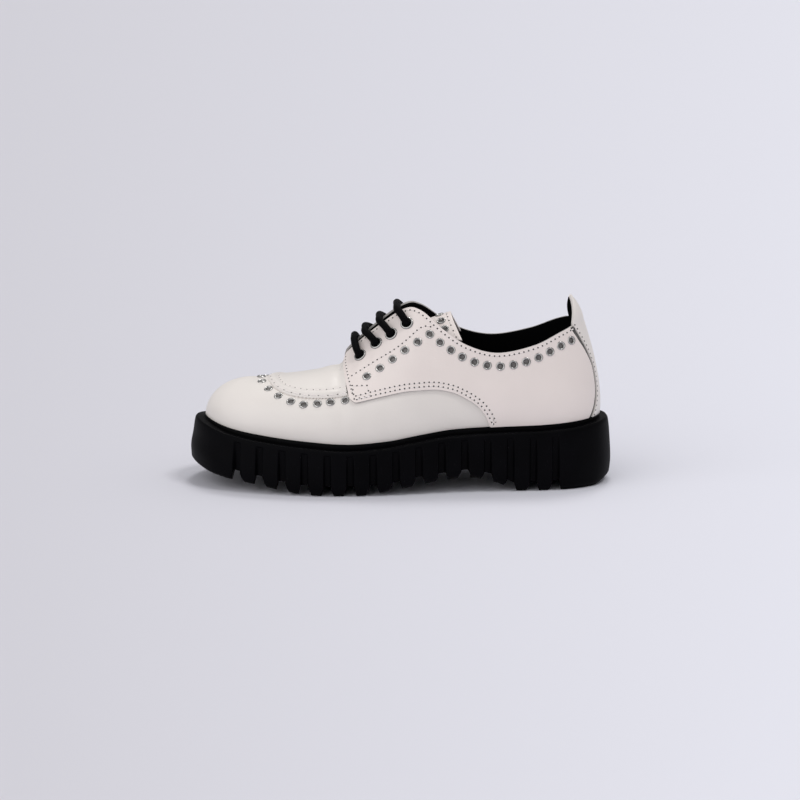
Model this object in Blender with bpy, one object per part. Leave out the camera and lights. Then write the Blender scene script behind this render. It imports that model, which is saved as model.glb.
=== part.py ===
"""Left derby shoe with a lugged platform sole, as separate solids in metres.

The toe points to -X, the lateral side faces -Y, and the sole stands on z = 0. Sizes below are in millimetres. The
upper is one function, wall_point: a loop of ribs that climb from the feather line, where upper and sole meet, to
the crown, the facings or the collar. Every overlay is a patch between two offsets of that same function.
"""

import math
from collections import namedtuple

import bmesh
import bpy
import numpy as np

MM = 0.001

# Middle of the finished bounding box in the sections' own frame
CENTRE = (0.4, -0.63, -2.0)

# Driving dimensions
SEAT_GAP = 0.4
LAP_GAP = 0.55
WALL = 1.8
OVERLAY = 1.2
WELT_HEIGHT = 3.7
WELT_PROUD = 0.8
WELT_REACH = 4.0
INSOLE_THICK = 3.0
TONGUE_THICK = 2.6
TONGUE_MIDDLE = 0.7
LACE_DIAMETER = 5.0

# Sole tread: fourteen lugs on one pitch between the toe block and the heel block
LUG_PITCH = 15.2
FIRST_NOTCH_X = -108.8
NOTCH_COUNT = 15
NOTCH_ROOT = 4.6
NOTCH_MOUTH = 8.6
FLUTE_WIDTH = 4.4
FLUTE_DEPTH = 2.6
FLUTE_BELOW_RIM = 2.4

# Lace eyelets
EYELET_FLANGE_RADIUS = 4.6
EYELET_BORE_RADIUS = 2.9
EYELET_BARREL_RADIUS = 3.35
EYELET_FLANGE_THICK = 0.8

# One row for each rib of the upper, toe tip to heel back. foot is the feather line and its two sides, top is the crown
# or the open edge, half_gap its distance from the crown line, and the last four shape the rib: how far it bulges and
# rises from the feather, and how steeply and from how far it comes into its top.
Rib = namedtuple(
    "Rib", "name foot_x foot_lat foot_med top_x crown_y half_gap top_z med_up bulge rise steep reach"
)
RIBS = (
    Rib("toe_tip", -132.4, 5.0, 5.0, -113.0, 5.0, 0.0, 65.6, 0, -0.6, 9.5, 20, 12.6),
    Rib("toe_front", -128.3, -9.5, 19.5, -109.5, 4.6, 0.0, 66.6, 0, 0.4, 10.0, 15, 14.0),
    Rib("toe_corner", -118.0, -23.0, 32.0, -103.0, 4.0, 0.0, 67.9, 0, 1.6, 12.0, 8, 18.0),
    Rib("toe_side", -101.0, -33.5, 39.8, -92.0, 3.0, 0.0, 68.0, 0, 2.4, 15.0, 3, 23.0),
    Rib("vamp", -74.0, -42.5, 44.6, -72.0, 1.5, 0.0, 68.5, 0, 3.4, 20.0, 0, 27.0),
    Rib("ball", -50.0, -46.3, 45.3, -52.0, 0.6, 0.0, 72.2, 0, 4.0, 23.0, 0, 27.0),
    Rib("throat", -38.0, -46.4, 44.2, -40.4, 0.2, 0.0, 76.2, 0, 4.0, 25.0, 6, 25.0),
    Rib("facing_foot", -29.0, -46.2, 43.0, -34.0, 0.0, 4.6, 86.2, 0.9, 4.0, 26.0, 24, 24.0),
    Rib("facing_mid", -10.0, -44.6, 39.8, -15.5, 0.0, 6.8, 102.6, 0.9, 3.8, 27.0, 38, 24.0),
    Rib("facing_head", 8.0, -41.6, 36.6, 3.0, 0.4, 10.0, 115.8, 0.4, 3.6, 27.0, 48, 25.0),
    Rib("corner", 22.0, -38.8, 34.4, 14.0, 0.6, 14.0, 115.6, 0, 3.6, 26.0, 58, 24.0),
    Rib("collar_front", 38.0, -35.8, 32.8, 29.0, 1.0, 21.0, 104.0, 1, 3.6, 24.0, 72, 20.0),
    Rib("collar_dip", 53.0, -33.5, 32.0, 45.0, 1.4, 25.6, 94.2, 2, 3.4, 21.0, 80, 17.0),
    Rib("collar_low", 72.0, -31.4, 31.6, 65.0, 1.8, 27.2, 89.4, 3.4, 3.4, 19.0, 84, 15.0),
    Rib("collar_rise", 95.0, -29.6, 31.2, 89.0, 2.2, 24.8, 93.9, 3.6, 3.2, 18.5, 84, 16.0),
    Rib("heel_side", 113.0, -25.6, 29.2, 106.0, 2.4, 19.0, 101.4, 3.2, 2.8, 18.0, 80, 17.0),
    Rib("heel_turn", 126.4, -17.2, 21.8, 116.8, 2.5, 11.4, 106.0, 2.2, 2.4, 18.0, 75, 18.0),
    Rib("heel_near", 132.5, -7.6, 12.6, 121.2, 2.5, 5.2, 107.0, 0.8, 2.0, 18.0, 72, 18.0),
    Rib("heel_back", 134.2, 2.5, 2.5, 122.4, 2.5, 0.0, 107.4, 0, 1.9, 18.0, 71, 18.0),
)
LAST_RIB = len(RIBS) - 1
LOOP = 2 * LAST_RIB
THROAT_RIB = 6

# Side profile of the sole. Rows are stations along the shoe, and the tread has two flat runs on the floor.
RimStation = namedtuple("RimStation", "x rim_z")
RIM_PROFILE = (
    RimStation(-142, 41.6),
    RimStation(-126, 37.4),
    RimStation(-112, 34.6),
    RimStation(-90, 31.9),
    RimStation(-60, 29.3),
    RimStation(-34, 27.8),
    RimStation(-10, 29.4),
    RimStation(14, 33.2),
    RimStation(36, 36.1),
    RimStation(60, 37.1),
    RimStation(95, 38.1),
    RimStation(122, 39.9),
    RimStation(142, 42.0),
)
TreadStation = namedtuple("TreadStation", "x tread_z")
TREAD_PROFILE = (
    TreadStation(-145, 13.0),
    TreadStation(-130, 8.2),
    TreadStation(-100, 3.8),
    TreadStation(-72, -0.4),
    TreadStation(-54, -2.0),
    TreadStation(-30, -2.0),
    TreadStation(-12, 0.2),
    TreadStation(4, 2.8),
    TreadStation(20, 5.4),
    TreadStation(44, 8.2),
    TreadStation(66, 3.5),
    TreadStation(78, -2.0),
    TreadStation(130, -2.0),
    TreadStation(145, 1.5),
)
NotchStation = namedtuple("NotchStation", "x depth")
NOTCH_PROFILE = (
    NotchStation(-110, 7.0),
    NotchStation(-40, 7.0),
    NotchStation(0, 5.8),
    NotchStation(40, 5.3),
    NotchStation(72, 5.8),
    NotchStation(104, 7.0),
)

# Side wall of the sole, floor to rim: distance out from the feather line along the sides and at the flared toe, and
# share of the height
WallLevel = namedtuple("WallLevel", "out toe_out share")
SOLE_WALL = (
    WallLevel(5.6, 7.4, 0.0),
    WallLevel(8.4, 9.9, 0.08),
    WallLevel(9.2, 10.2, 0.30),
    WallLevel(8.4, 8.4, 0.66),
    WallLevel(7.0, 6.8, 0.965),
    WallLevel(6.0, 6.0, 1.0),
)
TOE_FLARE_X = (-126.0, -96.0)
FLUTE_LEVEL = 2

# Quarter: how far up each rib its lower edge runs, and the rib of its front edge at each height
EdgeRow = namedtuple("EdgeRow", "rib up")
QUARTER_EDGE = (
    EdgeRow(6.5, 0.376),
    EdgeRow(8.2, 0.362),
    EdgeRow(9.4, 0.343),
    EdgeRow(10.4, 0.35),
    EdgeRow(10.87, 0.346),
    EdgeRow(11.27, 0.324),
    EdgeRow(11.67, 0.284),
    EdgeRow(11.98, 0.22),
    EdgeRow(12.2, 0.125),
    EdgeRow(12.42, 0.0),
    EdgeRow(17.0, 0.0),
)
FrontRow = namedtuple("FrontRow", "up rib")
QUARTER_FRONT = (
    FrontRow(0.0, 6.95),
    FrontRow(0.375, 6.92),
    FrontRow(0.45, 6.76),
    FrontRow(0.55, 6.68),
    FrontRow(0.65, 6.62),
    FrontRow(0.78, 6.6),
    FrontRow(0.92, 6.65),
    FrontRow(1.0, 6.9),
)

# Apron: how far up each rib its edge runs, round over the toe and then straight along the sides
APRON_EDGE = (
    EdgeRow(3.16, 1.0),
    EdgeRow(3.26, 0.925),
    EdgeRow(3.44, 0.815),
    EdgeRow(3.66, 0.690),
    EdgeRow(3.90, 0.608),
    EdgeRow(4.20, 0.545),
    EdgeRow(4.60, 0.500),
    EdgeRow(5.20, 0.480),
    EdgeRow(6.00, 0.478),
)
APRON_BACK_GAP = 0.1

# Backstay: half its width in ribs at each height, narrowest at its waist, and the pull tab above it
StripRow = namedtuple("StripRow", "up half_ribs")
BACKSTAY = (
    StripRow(0.0, 1.80),
    StripRow(0.15, 1.45),
    StripRow(0.35, 1.15),
    StripRow(0.50, 1.10),
    StripRow(0.66, 1.40),
    StripRow(0.80, 1.75),
    StripRow(1.0, 2.20),
)
BACKSTAY_GAP_RIBS = 0.08
TAB_RISE = 18.5
TAB_LEAN = 27.5
TAB_CURL = 0.7
TAB_TWIST = 0.22
TAB_TAPER = 1.8
TAB_TIP = 0.1

# Tongue stations: crown line and the arch to each side
TongueRow = namedtuple("TongueRow", "x crown_z half_width drop back_swing")
TONGUE = (
    TongueRow(-47.0, 69.8, 13.0, 2.8, 0.0),
    TongueRow(-36.0, 75.0, 15.0, 3.4, 0.5),
    TongueRow(-14.0, 88.2, 18.0, 6.2, 2.0),
    TongueRow(8.0, 102.9, 20.0, 9.4, 4.0),
    TongueRow(21.0, 108.8, 20.4, 12.4, 6.0),
    TongueRow(34.0, 113.2, 21.6, 16.0, 7.5),
)

# Lace eyelets: rib number and how far up it each one sits, and the rib where its bar crosses the facing edge
EyeletRow = namedtuple("EyeletRow", "rib up bar_rib")
EYELETS = (
    EyeletRow(7.425, 0.820, 7.38),
    EyeletRow(7.950, 0.835, 7.73),
    EyeletRow(8.450, 0.835, 8.22),
    EyeletRow(9.050, 0.860, 8.82),
)


def smooth_profile(rows, x):
    """Height at x through (x, height) rows, by a monotone cubic, so that flat runs stay exactly flat."""
    table = np.array(rows, float)
    xs, zs = table[:, 0], table[:, 1]
    step, slope = np.diff(xs), np.diff(zs) / np.diff(xs)
    tangent = np.zeros(len(xs))
    same = slope[:-1] * slope[1:] > 0
    mean = 2 * slope[:-1] * slope[1:] / np.where(same, slope[:-1] + slope[1:], 1)
    tangent[1:-1] = np.where(same, mean, 0.0)
    tangent[0], tangent[-1] = slope[0], slope[-1]
    x = np.clip(np.asarray(x, float), xs[0], xs[-1])
    i = np.clip(np.searchsorted(xs, x, side="right") - 1, 0, len(xs) - 2)
    t = (x - xs[i]) / step[i]
    rise = zs[i] + step[i] * t * (1 - t) * ((1 - t) * tangent[i] - t * tangent[i + 1])
    return rise + (zs[i + 1] - zs[i]) * t * t * (3 - 2 * t)


def rim_z(x):
    """Height of the sole's rim."""
    return smooth_profile(RIM_PROFILE, x)


def tread_z(x):
    """Height of the tread's underside between notches."""
    return smooth_profile(TREAD_PROFILE, x)


def loop_columns():
    """The rib table as a closed loop: toe tip, lateral ribs, heel back, medial ribs."""
    rows = []
    for place in range(LOOP):
        lateral = place <= LAST_RIB
        rib = RIBS[place] if lateral else RIBS[LOOP - place]
        side = -1.0 if lateral else 1.0
        foot_y = rib.foot_lat if lateral else rib.foot_med
        top_z = rib.top_z + (0 if lateral else rib.med_up)
        shape = (rib.bulge, rib.rise, math.radians(rib.steep), rib.reach)
        rows.append((rib.foot_x, foot_y, rib.top_x, rib.crown_y, side * rib.half_gap, top_z, *shape))
    return np.array(rows)


COLUMNS = loop_columns()


def around(place):
    """Every rib column at a place on the loop, by a closed cubic through the ribs."""
    place = np.mod(np.asarray(place, float), LOOP)
    i = np.floor(place).astype(int)
    t = (place - i)[..., None]
    before, here, after, beyond = (COLUMNS[(i + k) % LOOP] for k in (-1, 0, 1, 2))
    bend = 2 * before - 5 * here + 4 * after - beyond
    turn = 3 * (here - after) + beyond - before
    return here + 0.5 * t * (after - before + t * (bend + t * turn))


def feather_outward(place):
    """Feather point in plan and the outward direction there."""
    step = 0.02
    ahead, behind = around(place + step)[..., :2], around(place - step)[..., :2]
    along = ahead - behind
    along /= np.linalg.norm(along, axis=-1, keepdims=True)
    return around(place)[..., :2], np.stack([along[..., 1], -along[..., 0]], -1)


def rib_number(place):
    """Rib number, counted from the toe tip, of a place on either side of the loop."""
    place = np.mod(place, LOOP)
    return np.minimum(place, LOOP - place)


def wall_point(place, up):
    """Point on the outside of the upper: place along the loop, up from 0 at the feather to 1 at the top."""
    place, up = np.broadcast_arrays(np.asarray(place, float), np.asarray(up, float))
    column = around(place)
    plan, out = feather_outward(place)
    zero = np.zeros_like(up)
    foot = np.stack([plan[..., 0], plan[..., 1], rim_z(plan[..., 0]) + WELT_HEIGHT], -1)
    gap = np.where(rib_number(place) <= THROAT_RIB, 0.0, column[..., 4])
    top = np.stack([column[..., 2], column[..., 3] + gap, column[..., 5]], -1)
    bulge, rise, steep, reach = (column[..., k] for k in (6, 7, 8, 9))
    outward = np.stack([out[..., 0], out[..., 1], zero], -1)
    upward = np.array([0.0, 0.0, 1.0])
    low = foot + outward * bulge[..., None] + upward * rise[..., None]
    high = top + (outward * np.cos(steep)[..., None] - upward * np.sin(steep)[..., None]) * reach[..., None]
    t = up[..., None]
    return foot * (1 - t) ** 3 + low * 3 * t * (1 - t) ** 2 + high * 3 * t * t * (1 - t) + top * t**3


def wall_normal(place, up):
    """Outward normal of the upper. On the closed crown the two sides share one normal."""
    place, up = np.broadcast_arrays(np.asarray(place, float), np.asarray(up, float))
    step = 0.01
    along = wall_point(place + step, up) - wall_point(place - step, up)
    above, below = np.minimum(up + step, 1.0), np.maximum(up - step, 0.0)
    climb = wall_point(place, above) - wall_point(place, below)
    normal = np.cross(along, climb)
    normal /= np.linalg.norm(normal, axis=-1, keepdims=True)
    return normal


def wall_offset(place, up, distance):
    """Point at a distance outside the upper's outer face."""
    place, up = np.broadcast_arrays(np.asarray(place, float), np.asarray(up, float))
    normal = wall_normal(place, up)
    shared = (rib_number(place) <= THROAT_RIB) & (up > 0.999)
    both = normal + wall_normal(-place, up)
    both /= np.linalg.norm(both, axis=-1, keepdims=True)
    normal = np.where(shared[..., None], both, normal)
    return wall_point(place, up) + normal * distance


def sole_loop(places, out, above_rim):
    """Closed loop round the sole at a distance out from the feather and at a height above the rim."""
    plan, outward = feather_outward(places)
    plan = plan + outward * out
    return np.column_stack([plan, rim_z(plan[:, 0]) + above_rim])


def in_metres(points):
    """Millimetre points of the sections, moved so that the shoe stands in the middle of its box."""
    return (np.asarray(points) - CENTRE) * MM


def new_material(name, colour, roughness, metallic=0.0):
    """Plain material, to tell the pieces apart."""
    material = bpy.data.materials.new(name)
    material.use_nodes = True
    shader = material.node_tree.nodes["Principled BSDF"]
    shader.inputs["Base Color"].default_value = (*colour, 1.0)
    shader.inputs["Roughness"].default_value = roughness
    shader.inputs["Metallic"].default_value = metallic
    return material


def new_object(name, points, faces, material, parent):
    """Mesh object from millimetre points and faces, with its normals turned outwards."""
    mesh = bpy.data.meshes.new(name)
    mesh.from_pydata(in_metres(points).tolist(), [], faces)
    shape = bmesh.new()
    shape.from_mesh(mesh)
    bmesh.ops.recalc_face_normals(shape, faces=shape.faces)
    shape.to_mesh(mesh)
    shape.free()
    mesh.shade_smooth()
    mesh.set_sharp_from_angle(angle=math.radians(40))
    mesh.materials.append(material)
    made = bpy.data.objects.new(name, mesh)
    made.parent = parent
    bpy.context.scene.collection.objects.link(made)
    return made


def cutter(name, points, faces):
    """Hidden solid that a Boolean takes away."""
    mesh = bpy.data.meshes.new(name)
    mesh.from_pydata(in_metres(points).tolist(), [], faces)
    shape = bmesh.new()
    shape.from_mesh(mesh)
    bmesh.ops.recalc_face_normals(shape, faces=shape.faces)
    shape.to_mesh(mesh)
    shape.free()
    made = bpy.data.objects.new(name, mesh)
    made.hide_render = True
    made.display_type = "WIRE"
    bpy.context.scene.collection.objects.link(made)
    return made


def cut(target, tool):
    """Take a cutter's shape away from a solid."""
    boolean = target.modifiers.new(tool.name, "BOOLEAN")
    boolean.operation = "DIFFERENCE"
    boolean.object = tool
    boolean.solver = "EXACT"


def grid_faces(rows, columns, start=0):
    """Quads of a grid of points stored row by row."""
    faces = []
    for r in range(rows - 1):
        for c in range(columns - 1):
            first = start + r * columns + c
            second = first + columns
            faces.append((first, second, second + 1, first + 1))
    return faces


def patch_solid(name, outer, inner, material, parent):
    """Closed thin solid between two grids of points of the same size."""
    rows, columns = outer.shape[:2]
    count = rows * columns
    points = np.concatenate([outer.reshape(-1, 3), inner.reshape(-1, 3)])
    faces = grid_faces(rows, columns) + [f[::-1] for f in grid_faces(rows, columns, start=count)]
    rim = list(range(columns))
    rim += [r * columns + columns - 1 for r in range(1, rows)]
    rim += [(rows - 1) * columns + c for c in range(columns - 2, -1, -1)]
    rim += [r * columns for r in range(rows - 2, 0, -1)]
    for a, b in zip(rim, rim[1:] + rim[:1]):
        faces.append((a, b, b + count, a + count))
    return new_object(name, points, faces, material, parent)


def loop_solid(name, loops, material, parent):
    """Closed solid through loops of equal length, floor first, with its ends closed by strips across."""
    size = len(loops[0])
    points = np.concatenate(loops)
    faces = []
    for level in range(len(loops) - 1):
        for i in range(size):
            j = (i + 1) % size
            low, high = level * size, (level + 1) * size
            faces.append((low + i, low + j, high + j, high + i))
    for start in (0, (len(loops) - 1) * size):
        for i in range(size // 2):
            across = [start + i, start + i + 1, start + (size - i - 1) % size, start + (size - i) % size]
            faces.append(tuple(dict.fromkeys(across)))
    return new_object(name, points, faces, material, parent)


def loop_places(per_rib):
    """Even places round the whole loop."""
    return np.arange(LOOP * per_rib) / per_rib


def make_outsole(material, parent):
    """Rubber unit: side wall levels from tread to rim, then notches across the tread and flutes up the sides."""
    places = loop_places(3)
    loops = []
    for level in SOLE_WALL:
        plan, outward = feather_outward(places)
        out = np.interp(plan[:, 0], TOE_FLARE_X, (level.toe_out, level.out))
        plan = plan + outward * out[:, None]
        low, high = tread_z(plan[:, 0]), rim_z(plan[:, 0])
        loops.append(np.column_stack([plan, low + level.share * (high - low)]))
    sole = loop_solid("outsole", loops, material, parent)
    cut(sole, tread_notches())
    cut(sole, side_flutes())
    return sole


def notch_x():
    """Middle of each notch along the shoe."""
    return FIRST_NOTCH_X + LUG_PITCH * np.arange(NOTCH_COUNT)


BOX_FACES = [(0, 1, 2, 3), (4, 7, 6, 5), (0, 4, 5, 1), (1, 5, 6, 2), (2, 6, 7, 3), (3, 7, 4, 0)]


def joined_boxes(name, boxes):
    """One cutter of many boxes, each given by its eight corners."""
    points = np.concatenate(boxes)
    faces = [tuple(8 * k + i for i in face) for k in range(len(boxes)) for face in BOX_FACES]
    return cutter(name, points, faces)


def tread_notches():
    """Tapered slots right across the tread, between the lugs."""
    reach, below = 90.0, 4.0
    boxes = []
    for x in notch_x():
        mouth = float(tread_z(x))
        depth = float(smooth_profile(NOTCH_PROFILE, x))
        flare = NOTCH_MOUTH / 2 + below * (NOTCH_MOUTH - NOTCH_ROOT) / 2 / depth
        low, high = mouth - below, mouth + depth
        section = ((x - flare, low), (x + flare, low), (x + NOTCH_ROOT / 2, high), (x - NOTCH_ROOT / 2, high))
        boxes.append([(px, side, pz) for side in (-reach, reach) for px, pz in section])
    return joined_boxes("notch_cutter", boxes)


def side_places(x_wanted, lateral):
    """Places on one side of the loop where the sole's wall has the wanted x."""
    places = np.linspace(0.4, LAST_RIB - 0.4, 600)
    if not lateral:
        places = LOOP - places
    plan, outward = feather_outward(places)
    return np.interp(x_wanted, (plan + outward * SOLE_WALL[FLUTE_LEVEL].out)[:, 0], places)


def side_flutes():
    """Upright flutes in the side wall, one above each end of every notch."""
    boxes = []
    for lateral in (True, False):
        places = side_places(notch_x(), lateral)
        plan, outward = feather_outward(places)
        for (x, y), out in zip(plan, outward):
            along = np.array([-out[1], out[0]]) * FLUTE_WIDTH / 2
            base = np.array([x, y]) + out * (SOLE_WALL[FLUTE_LEVEL].out - FLUTE_DEPTH)
            far = np.array([x, y]) + out * (SOLE_WALL[FLUTE_LEVEL].out + FLUTE_DEPTH)
            high = float(rim_z(x)) - FLUTE_BELOW_RIM
            ring = (base - along, base + along, far + along, far - along)
            boxes.append([(*corner, z) for z in (-6.0, high) for corner in ring])
    return joined_boxes("flute_cutter", boxes)


def make_welt(material, parent):
    """Band that stands on the outsole and carries the foot of the upper."""
    places = loop_places(2)
    low, high = SEAT_GAP, WELT_HEIGHT - SEAT_GAP
    section = [
        sole_loop(places, WELT_PROUD, low),
        sole_loop(places, WELT_PROUD, high),
        sole_loop(places, -WELT_REACH, high),
        sole_loop(places, -WELT_REACH, low),
    ]
    points = np.stack(section, 1).reshape(-1, 3)
    faces = []
    for i in range(len(places)):
        j = (i + 1) % len(places)
        for k in range(4):
            n = (k + 1) % 4
            faces.append((4 * i + k, 4 * j + k, 4 * j + n, 4 * i + n))
    return new_object("welt", points, faces, material, parent)


def make_insole(material, parent):
    """Footbed inside the welt."""
    places = loop_places(2)
    inset = -WELT_REACH - 2 * SEAT_GAP
    low = sole_loop(places, inset, SEAT_GAP)
    high = sole_loop(places, inset, SEAT_GAP + INSOLE_THICK)
    return loop_solid("insole", [low, high], material, parent)


def upper_grid():
    """Places and heights of the upper's points."""
    places = loop_places(2)
    ups = np.array([0.0, 0.11, 0.23, 0.36, 0.49, 0.62, 0.75, 0.88, 1.0])
    return np.meshgrid(places, ups, indexing="ij")


def make_upper(material, parent):
    """Hollow wall on the last: outer and inner grids, joined round the foot and round the throat and collar."""
    places, ups = upper_grid()
    rows, columns = places.shape
    grids = [wall_offset(places, ups, 0.0), wall_offset(places, ups, -WALL)]
    points = np.concatenate([g.reshape(-1, 3) for g in grids])
    count = rows * columns
    crown = THROAT_RIB * 2
    index = np.arange(2 * count).reshape(2, rows, columns)
    for row in range(1, crown + 1):
        index[:, rows - row, -1] = index[:, row, -1]
    faces = []
    for row in range(rows):
        after = (row + 1) % rows
        for c in range(columns - 1):
            for shell in (0, 1):
                corners = [index[shell, r, k] for r, k in ((row, c), (after, c), (after, c + 1), (row, c + 1))]
                faces.append(tuple(dict.fromkeys(int(v) for v in corners)))
        ends = [0]
        if crown <= row < rows - crown:
            ends.append(columns - 1)
        for c in ends:
            faces.append(tuple(int(index[s, r, c]) for s, r in ((0, row), (0, after), (1, after), (1, row))))
    used = sorted({v for face in faces for v in face})
    renumber = {old: new for new, old in enumerate(used)}
    faces = [tuple(renumber[v] for v in face) for face in faces]
    return new_object("upper", points[used], faces, material, parent)


def overlay_patch(name, places, ups, material, parent):
    """Thin overlay between two offsets of the upper's own function."""
    inner = wall_offset(places, ups, LAP_GAP)
    outer = wall_offset(places, ups, SEAT_GAP + OVERLAY)
    return patch_solid(name, outer, inner, material, parent)


def backstay_half(up):
    """Half width of the backstay in ribs, at a height up them."""
    return smooth_profile(BACKSTAY, up)


def make_quarter(name, lateral, material, parent):
    """Quarter with its facing: shaped front edge, curved lower edge, back edge along the backstay."""
    along = np.concatenate([np.linspace(6.6, 10.8, 11), np.linspace(11.1, 12.42, 7), np.linspace(12.7, 16.0, 10)])
    share = np.linspace(0.0, 1.0, 8)
    low = smooth_profile(QUARTER_EDGE, along)
    ups = low[:, None] + (1 - low[:, None]) * share[None, :]
    across = (along - along[0]) / (along[-1] - along[0])
    lead = smooth_profile(QUARTER_FRONT, ups) - along[0]
    trail = LAST_RIB - backstay_half(ups) - BACKSTAY_GAP_RIBS - along[-1]
    ribs = along[:, None] + lead * (1 - across[:, None]) ** 8 + trail * across[:, None] ** 4
    places = ribs if lateral else LOOP - ribs
    return overlay_patch(name, places, ups, material, parent)


def make_apron(material, parent):
    """Plug of the vamp, across the crown from side to side, its back edge along the quarters."""
    ribs = np.array([3.17, 3.25, 3.35, 3.48, 3.66, 3.90, 4.20, 4.60, 5.00, 5.35, 5.70, 6.00])
    across = np.linspace(-1.0, 1.0, 11)
    ups = 1 - (1 - smooth_profile(APRON_EDGE, ribs)[:, None]) * np.abs(across)[None, :]
    back = smooth_profile(QUARTER_FRONT, ups) - APRON_BACK_GAP - THROAT_RIB
    tail = np.clip((ribs - 4.9) / (THROAT_RIB - 4.9), 0.0, 1.0)[:, None]
    away = np.clip(np.abs(across) / 0.4, 0.0, 1.0)[None, :]
    ribs = ribs[:, None] + tail**2 * away * back
    places = np.where(across[None, :] < 0, ribs, -ribs)
    return overlay_patch("apron", places, ups, material, parent)


def make_backstay(material, parent):
    """Heel strip from the feather up to the collar, carried on above it as the pull tab."""
    across = np.linspace(-1.0, 1.0, 9)
    ups = np.linspace(0.0, 1.0, 8)
    heights = np.repeat(ups[:, None], len(across), 1)
    places = LAST_RIB + backstay_half(heights) * across[None, :]
    inner = wall_offset(places, heights, SEAT_GAP)
    outer = wall_offset(places, heights, SEAT_GAP + OVERLAY)
    lean = math.radians(TAB_LEAN)
    grids = []
    for grid in (inner, outer):
        top = grid[-1]
        middle = top[len(across) // 2]
        rows = []
        for share in (0.25, 0.5, 0.75, 0.93, 1.0):
            level = middle + (top - middle) * (1 - (1 - TAB_TIP) * share**TAB_TAPER)
            level[:, 0] -= TAB_RISE * math.sin(lean) * share * (1 - TAB_CURL * (1 - share))
            level[:, 0] -= TAB_TWIST * share * (level[:, 1] - middle[1])
            level[:, 2] = top[:, 2] * (1 - share) + (middle[2] + TAB_RISE * math.cos(lean)) * share
            rows.append(level)
        grids.append(np.concatenate([grid, np.stack(rows)]))
    return patch_solid("backstay", grids[1], grids[0], material, parent)


def tongue_columns(x):
    """Crown, half width, drop and back swing of the tongue at x."""
    return [
        smooth_profile([(row.x, getattr(row, field)) for row in TONGUE], x) for field in TongueRow._fields[1:]
    ]


def make_tongue(material, parent):
    """Arched flap under the facings, its end swept back at the sides."""
    x = np.linspace(TONGUE[0].x, TONGUE[-1].x, 14)
    crown, half, drop, swing = (column[:, None] for column in tongue_columns(x))
    across = np.linspace(-1.0, 1.0, 9)[None, :]
    top = np.stack(
        np.broadcast_arrays(
            x[:, None] + swing * across**2, TONGUE_MIDDLE + half * across, crown - drop * np.abs(across) ** 1.8
        ),
        -1,
    )
    along = np.gradient(top, axis=0)
    normal = np.cross(along, np.gradient(top, axis=1))
    normal /= np.linalg.norm(normal, axis=-1, keepdims=True)
    return patch_solid("tongue", top, top - normal * TONGUE_THICK, material, parent)


def eyelet_frame(row, lateral):
    """Centre on the quarter's face and the axis of one lace eyelet."""
    place = row.rib if lateral else LOOP - row.rib
    axis = wall_normal(place, row.up)
    return wall_point(place, row.up) + axis * (SEAT_GAP + OVERLAY), axis


def turned(profile, centre, axis, sides):
    """Points and faces of a closed ring section turned about an axis. The profile has (radius, along) rows."""
    axis = axis / np.linalg.norm(axis)
    first = np.cross(axis, [0.0, 1.0, 0.3])
    first /= np.linalg.norm(first)
    second = np.cross(axis, first)
    points, size = [], len(profile)
    for turn in np.arange(sides) * 2 * math.pi / sides:
        spoke = first * math.cos(turn) + second * math.sin(turn)
        points += [centre + spoke * radius + axis * along for radius, along in profile]
    faces = []
    for i in range(sides):
        j = (i + 1) % sides
        for k in range(size):
            n = (k + 1) % size
            faces.append((size * i + k, size * j + k, size * j + n, size * i + n))
    return points, faces


def make_eyelets(material, parent):
    """Flanged rings with a barrel through quarter and upper, four to a side."""
    depth = WALL + OVERLAY + SEAT_GAP
    profile = (
        (EYELET_BORE_RADIUS, -depth),
        (EYELET_BARREL_RADIUS, -depth),
        (EYELET_BARREL_RADIUS, SEAT_GAP),
        (EYELET_FLANGE_RADIUS, SEAT_GAP),
        (EYELET_FLANGE_RADIUS - 0.5, SEAT_GAP + EYELET_FLANGE_THICK),
        (EYELET_BORE_RADIUS, SEAT_GAP + EYELET_FLANGE_THICK),
    )
    for side, lateral in (("lateral", True), ("medial", False)):
        for number, row in enumerate(EYELETS, 1):
            centre, axis = eyelet_frame(row, lateral)
            points, faces = turned(profile, centre, axis, 10)
            new_object(f"eyelet_{side}_{number}", points, faces, material, parent)


def eyelet_holes(lateral):
    """Drills through overlay and wall for the barrels of one side."""
    points, faces, sides = [], [], 10
    for row in EYELETS:
        centre, axis = eyelet_frame(row, lateral)
        first = np.cross(axis, [0.0, 1.0, 0.3])
        first /= np.linalg.norm(first)
        second = np.cross(axis, first)
        start = len(points)
        radius = EYELET_BARREL_RADIUS + SEAT_GAP
        for along in (-9.0, 9.0):
            for turn in np.arange(sides) * 2 * math.pi / sides:
                points.append(centre + axis * along + radius * (first * math.cos(turn) + second * math.sin(turn)))
        ring = list(range(start, start + sides))
        faces.append(tuple(ring[::-1]))
        faces.append(tuple(v + sides for v in ring))
        for a, b in zip(ring, ring[1:] + ring[:1]):
            faces.append((a, b, b + sides, a + sides))
    return cutter(f"eyelet_drill_{'lateral' if lateral else 'medial'}", points, faces)


def turn_into(centre, axis, toward, start, radius, steps):
    """Quarter turn of the lace at an eyelet, from along its axis to along the leather."""
    side = toward - axis * (toward @ axis)
    side /= np.linalg.norm(side)
    angles = np.linspace(0.0, 0.5 * math.pi, steps)
    return [
        centre + side * radius * (1 - math.cos(a)) + axis * (start + math.copysign(radius, start) * math.sin(a))
        for a in angles
    ]


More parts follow.
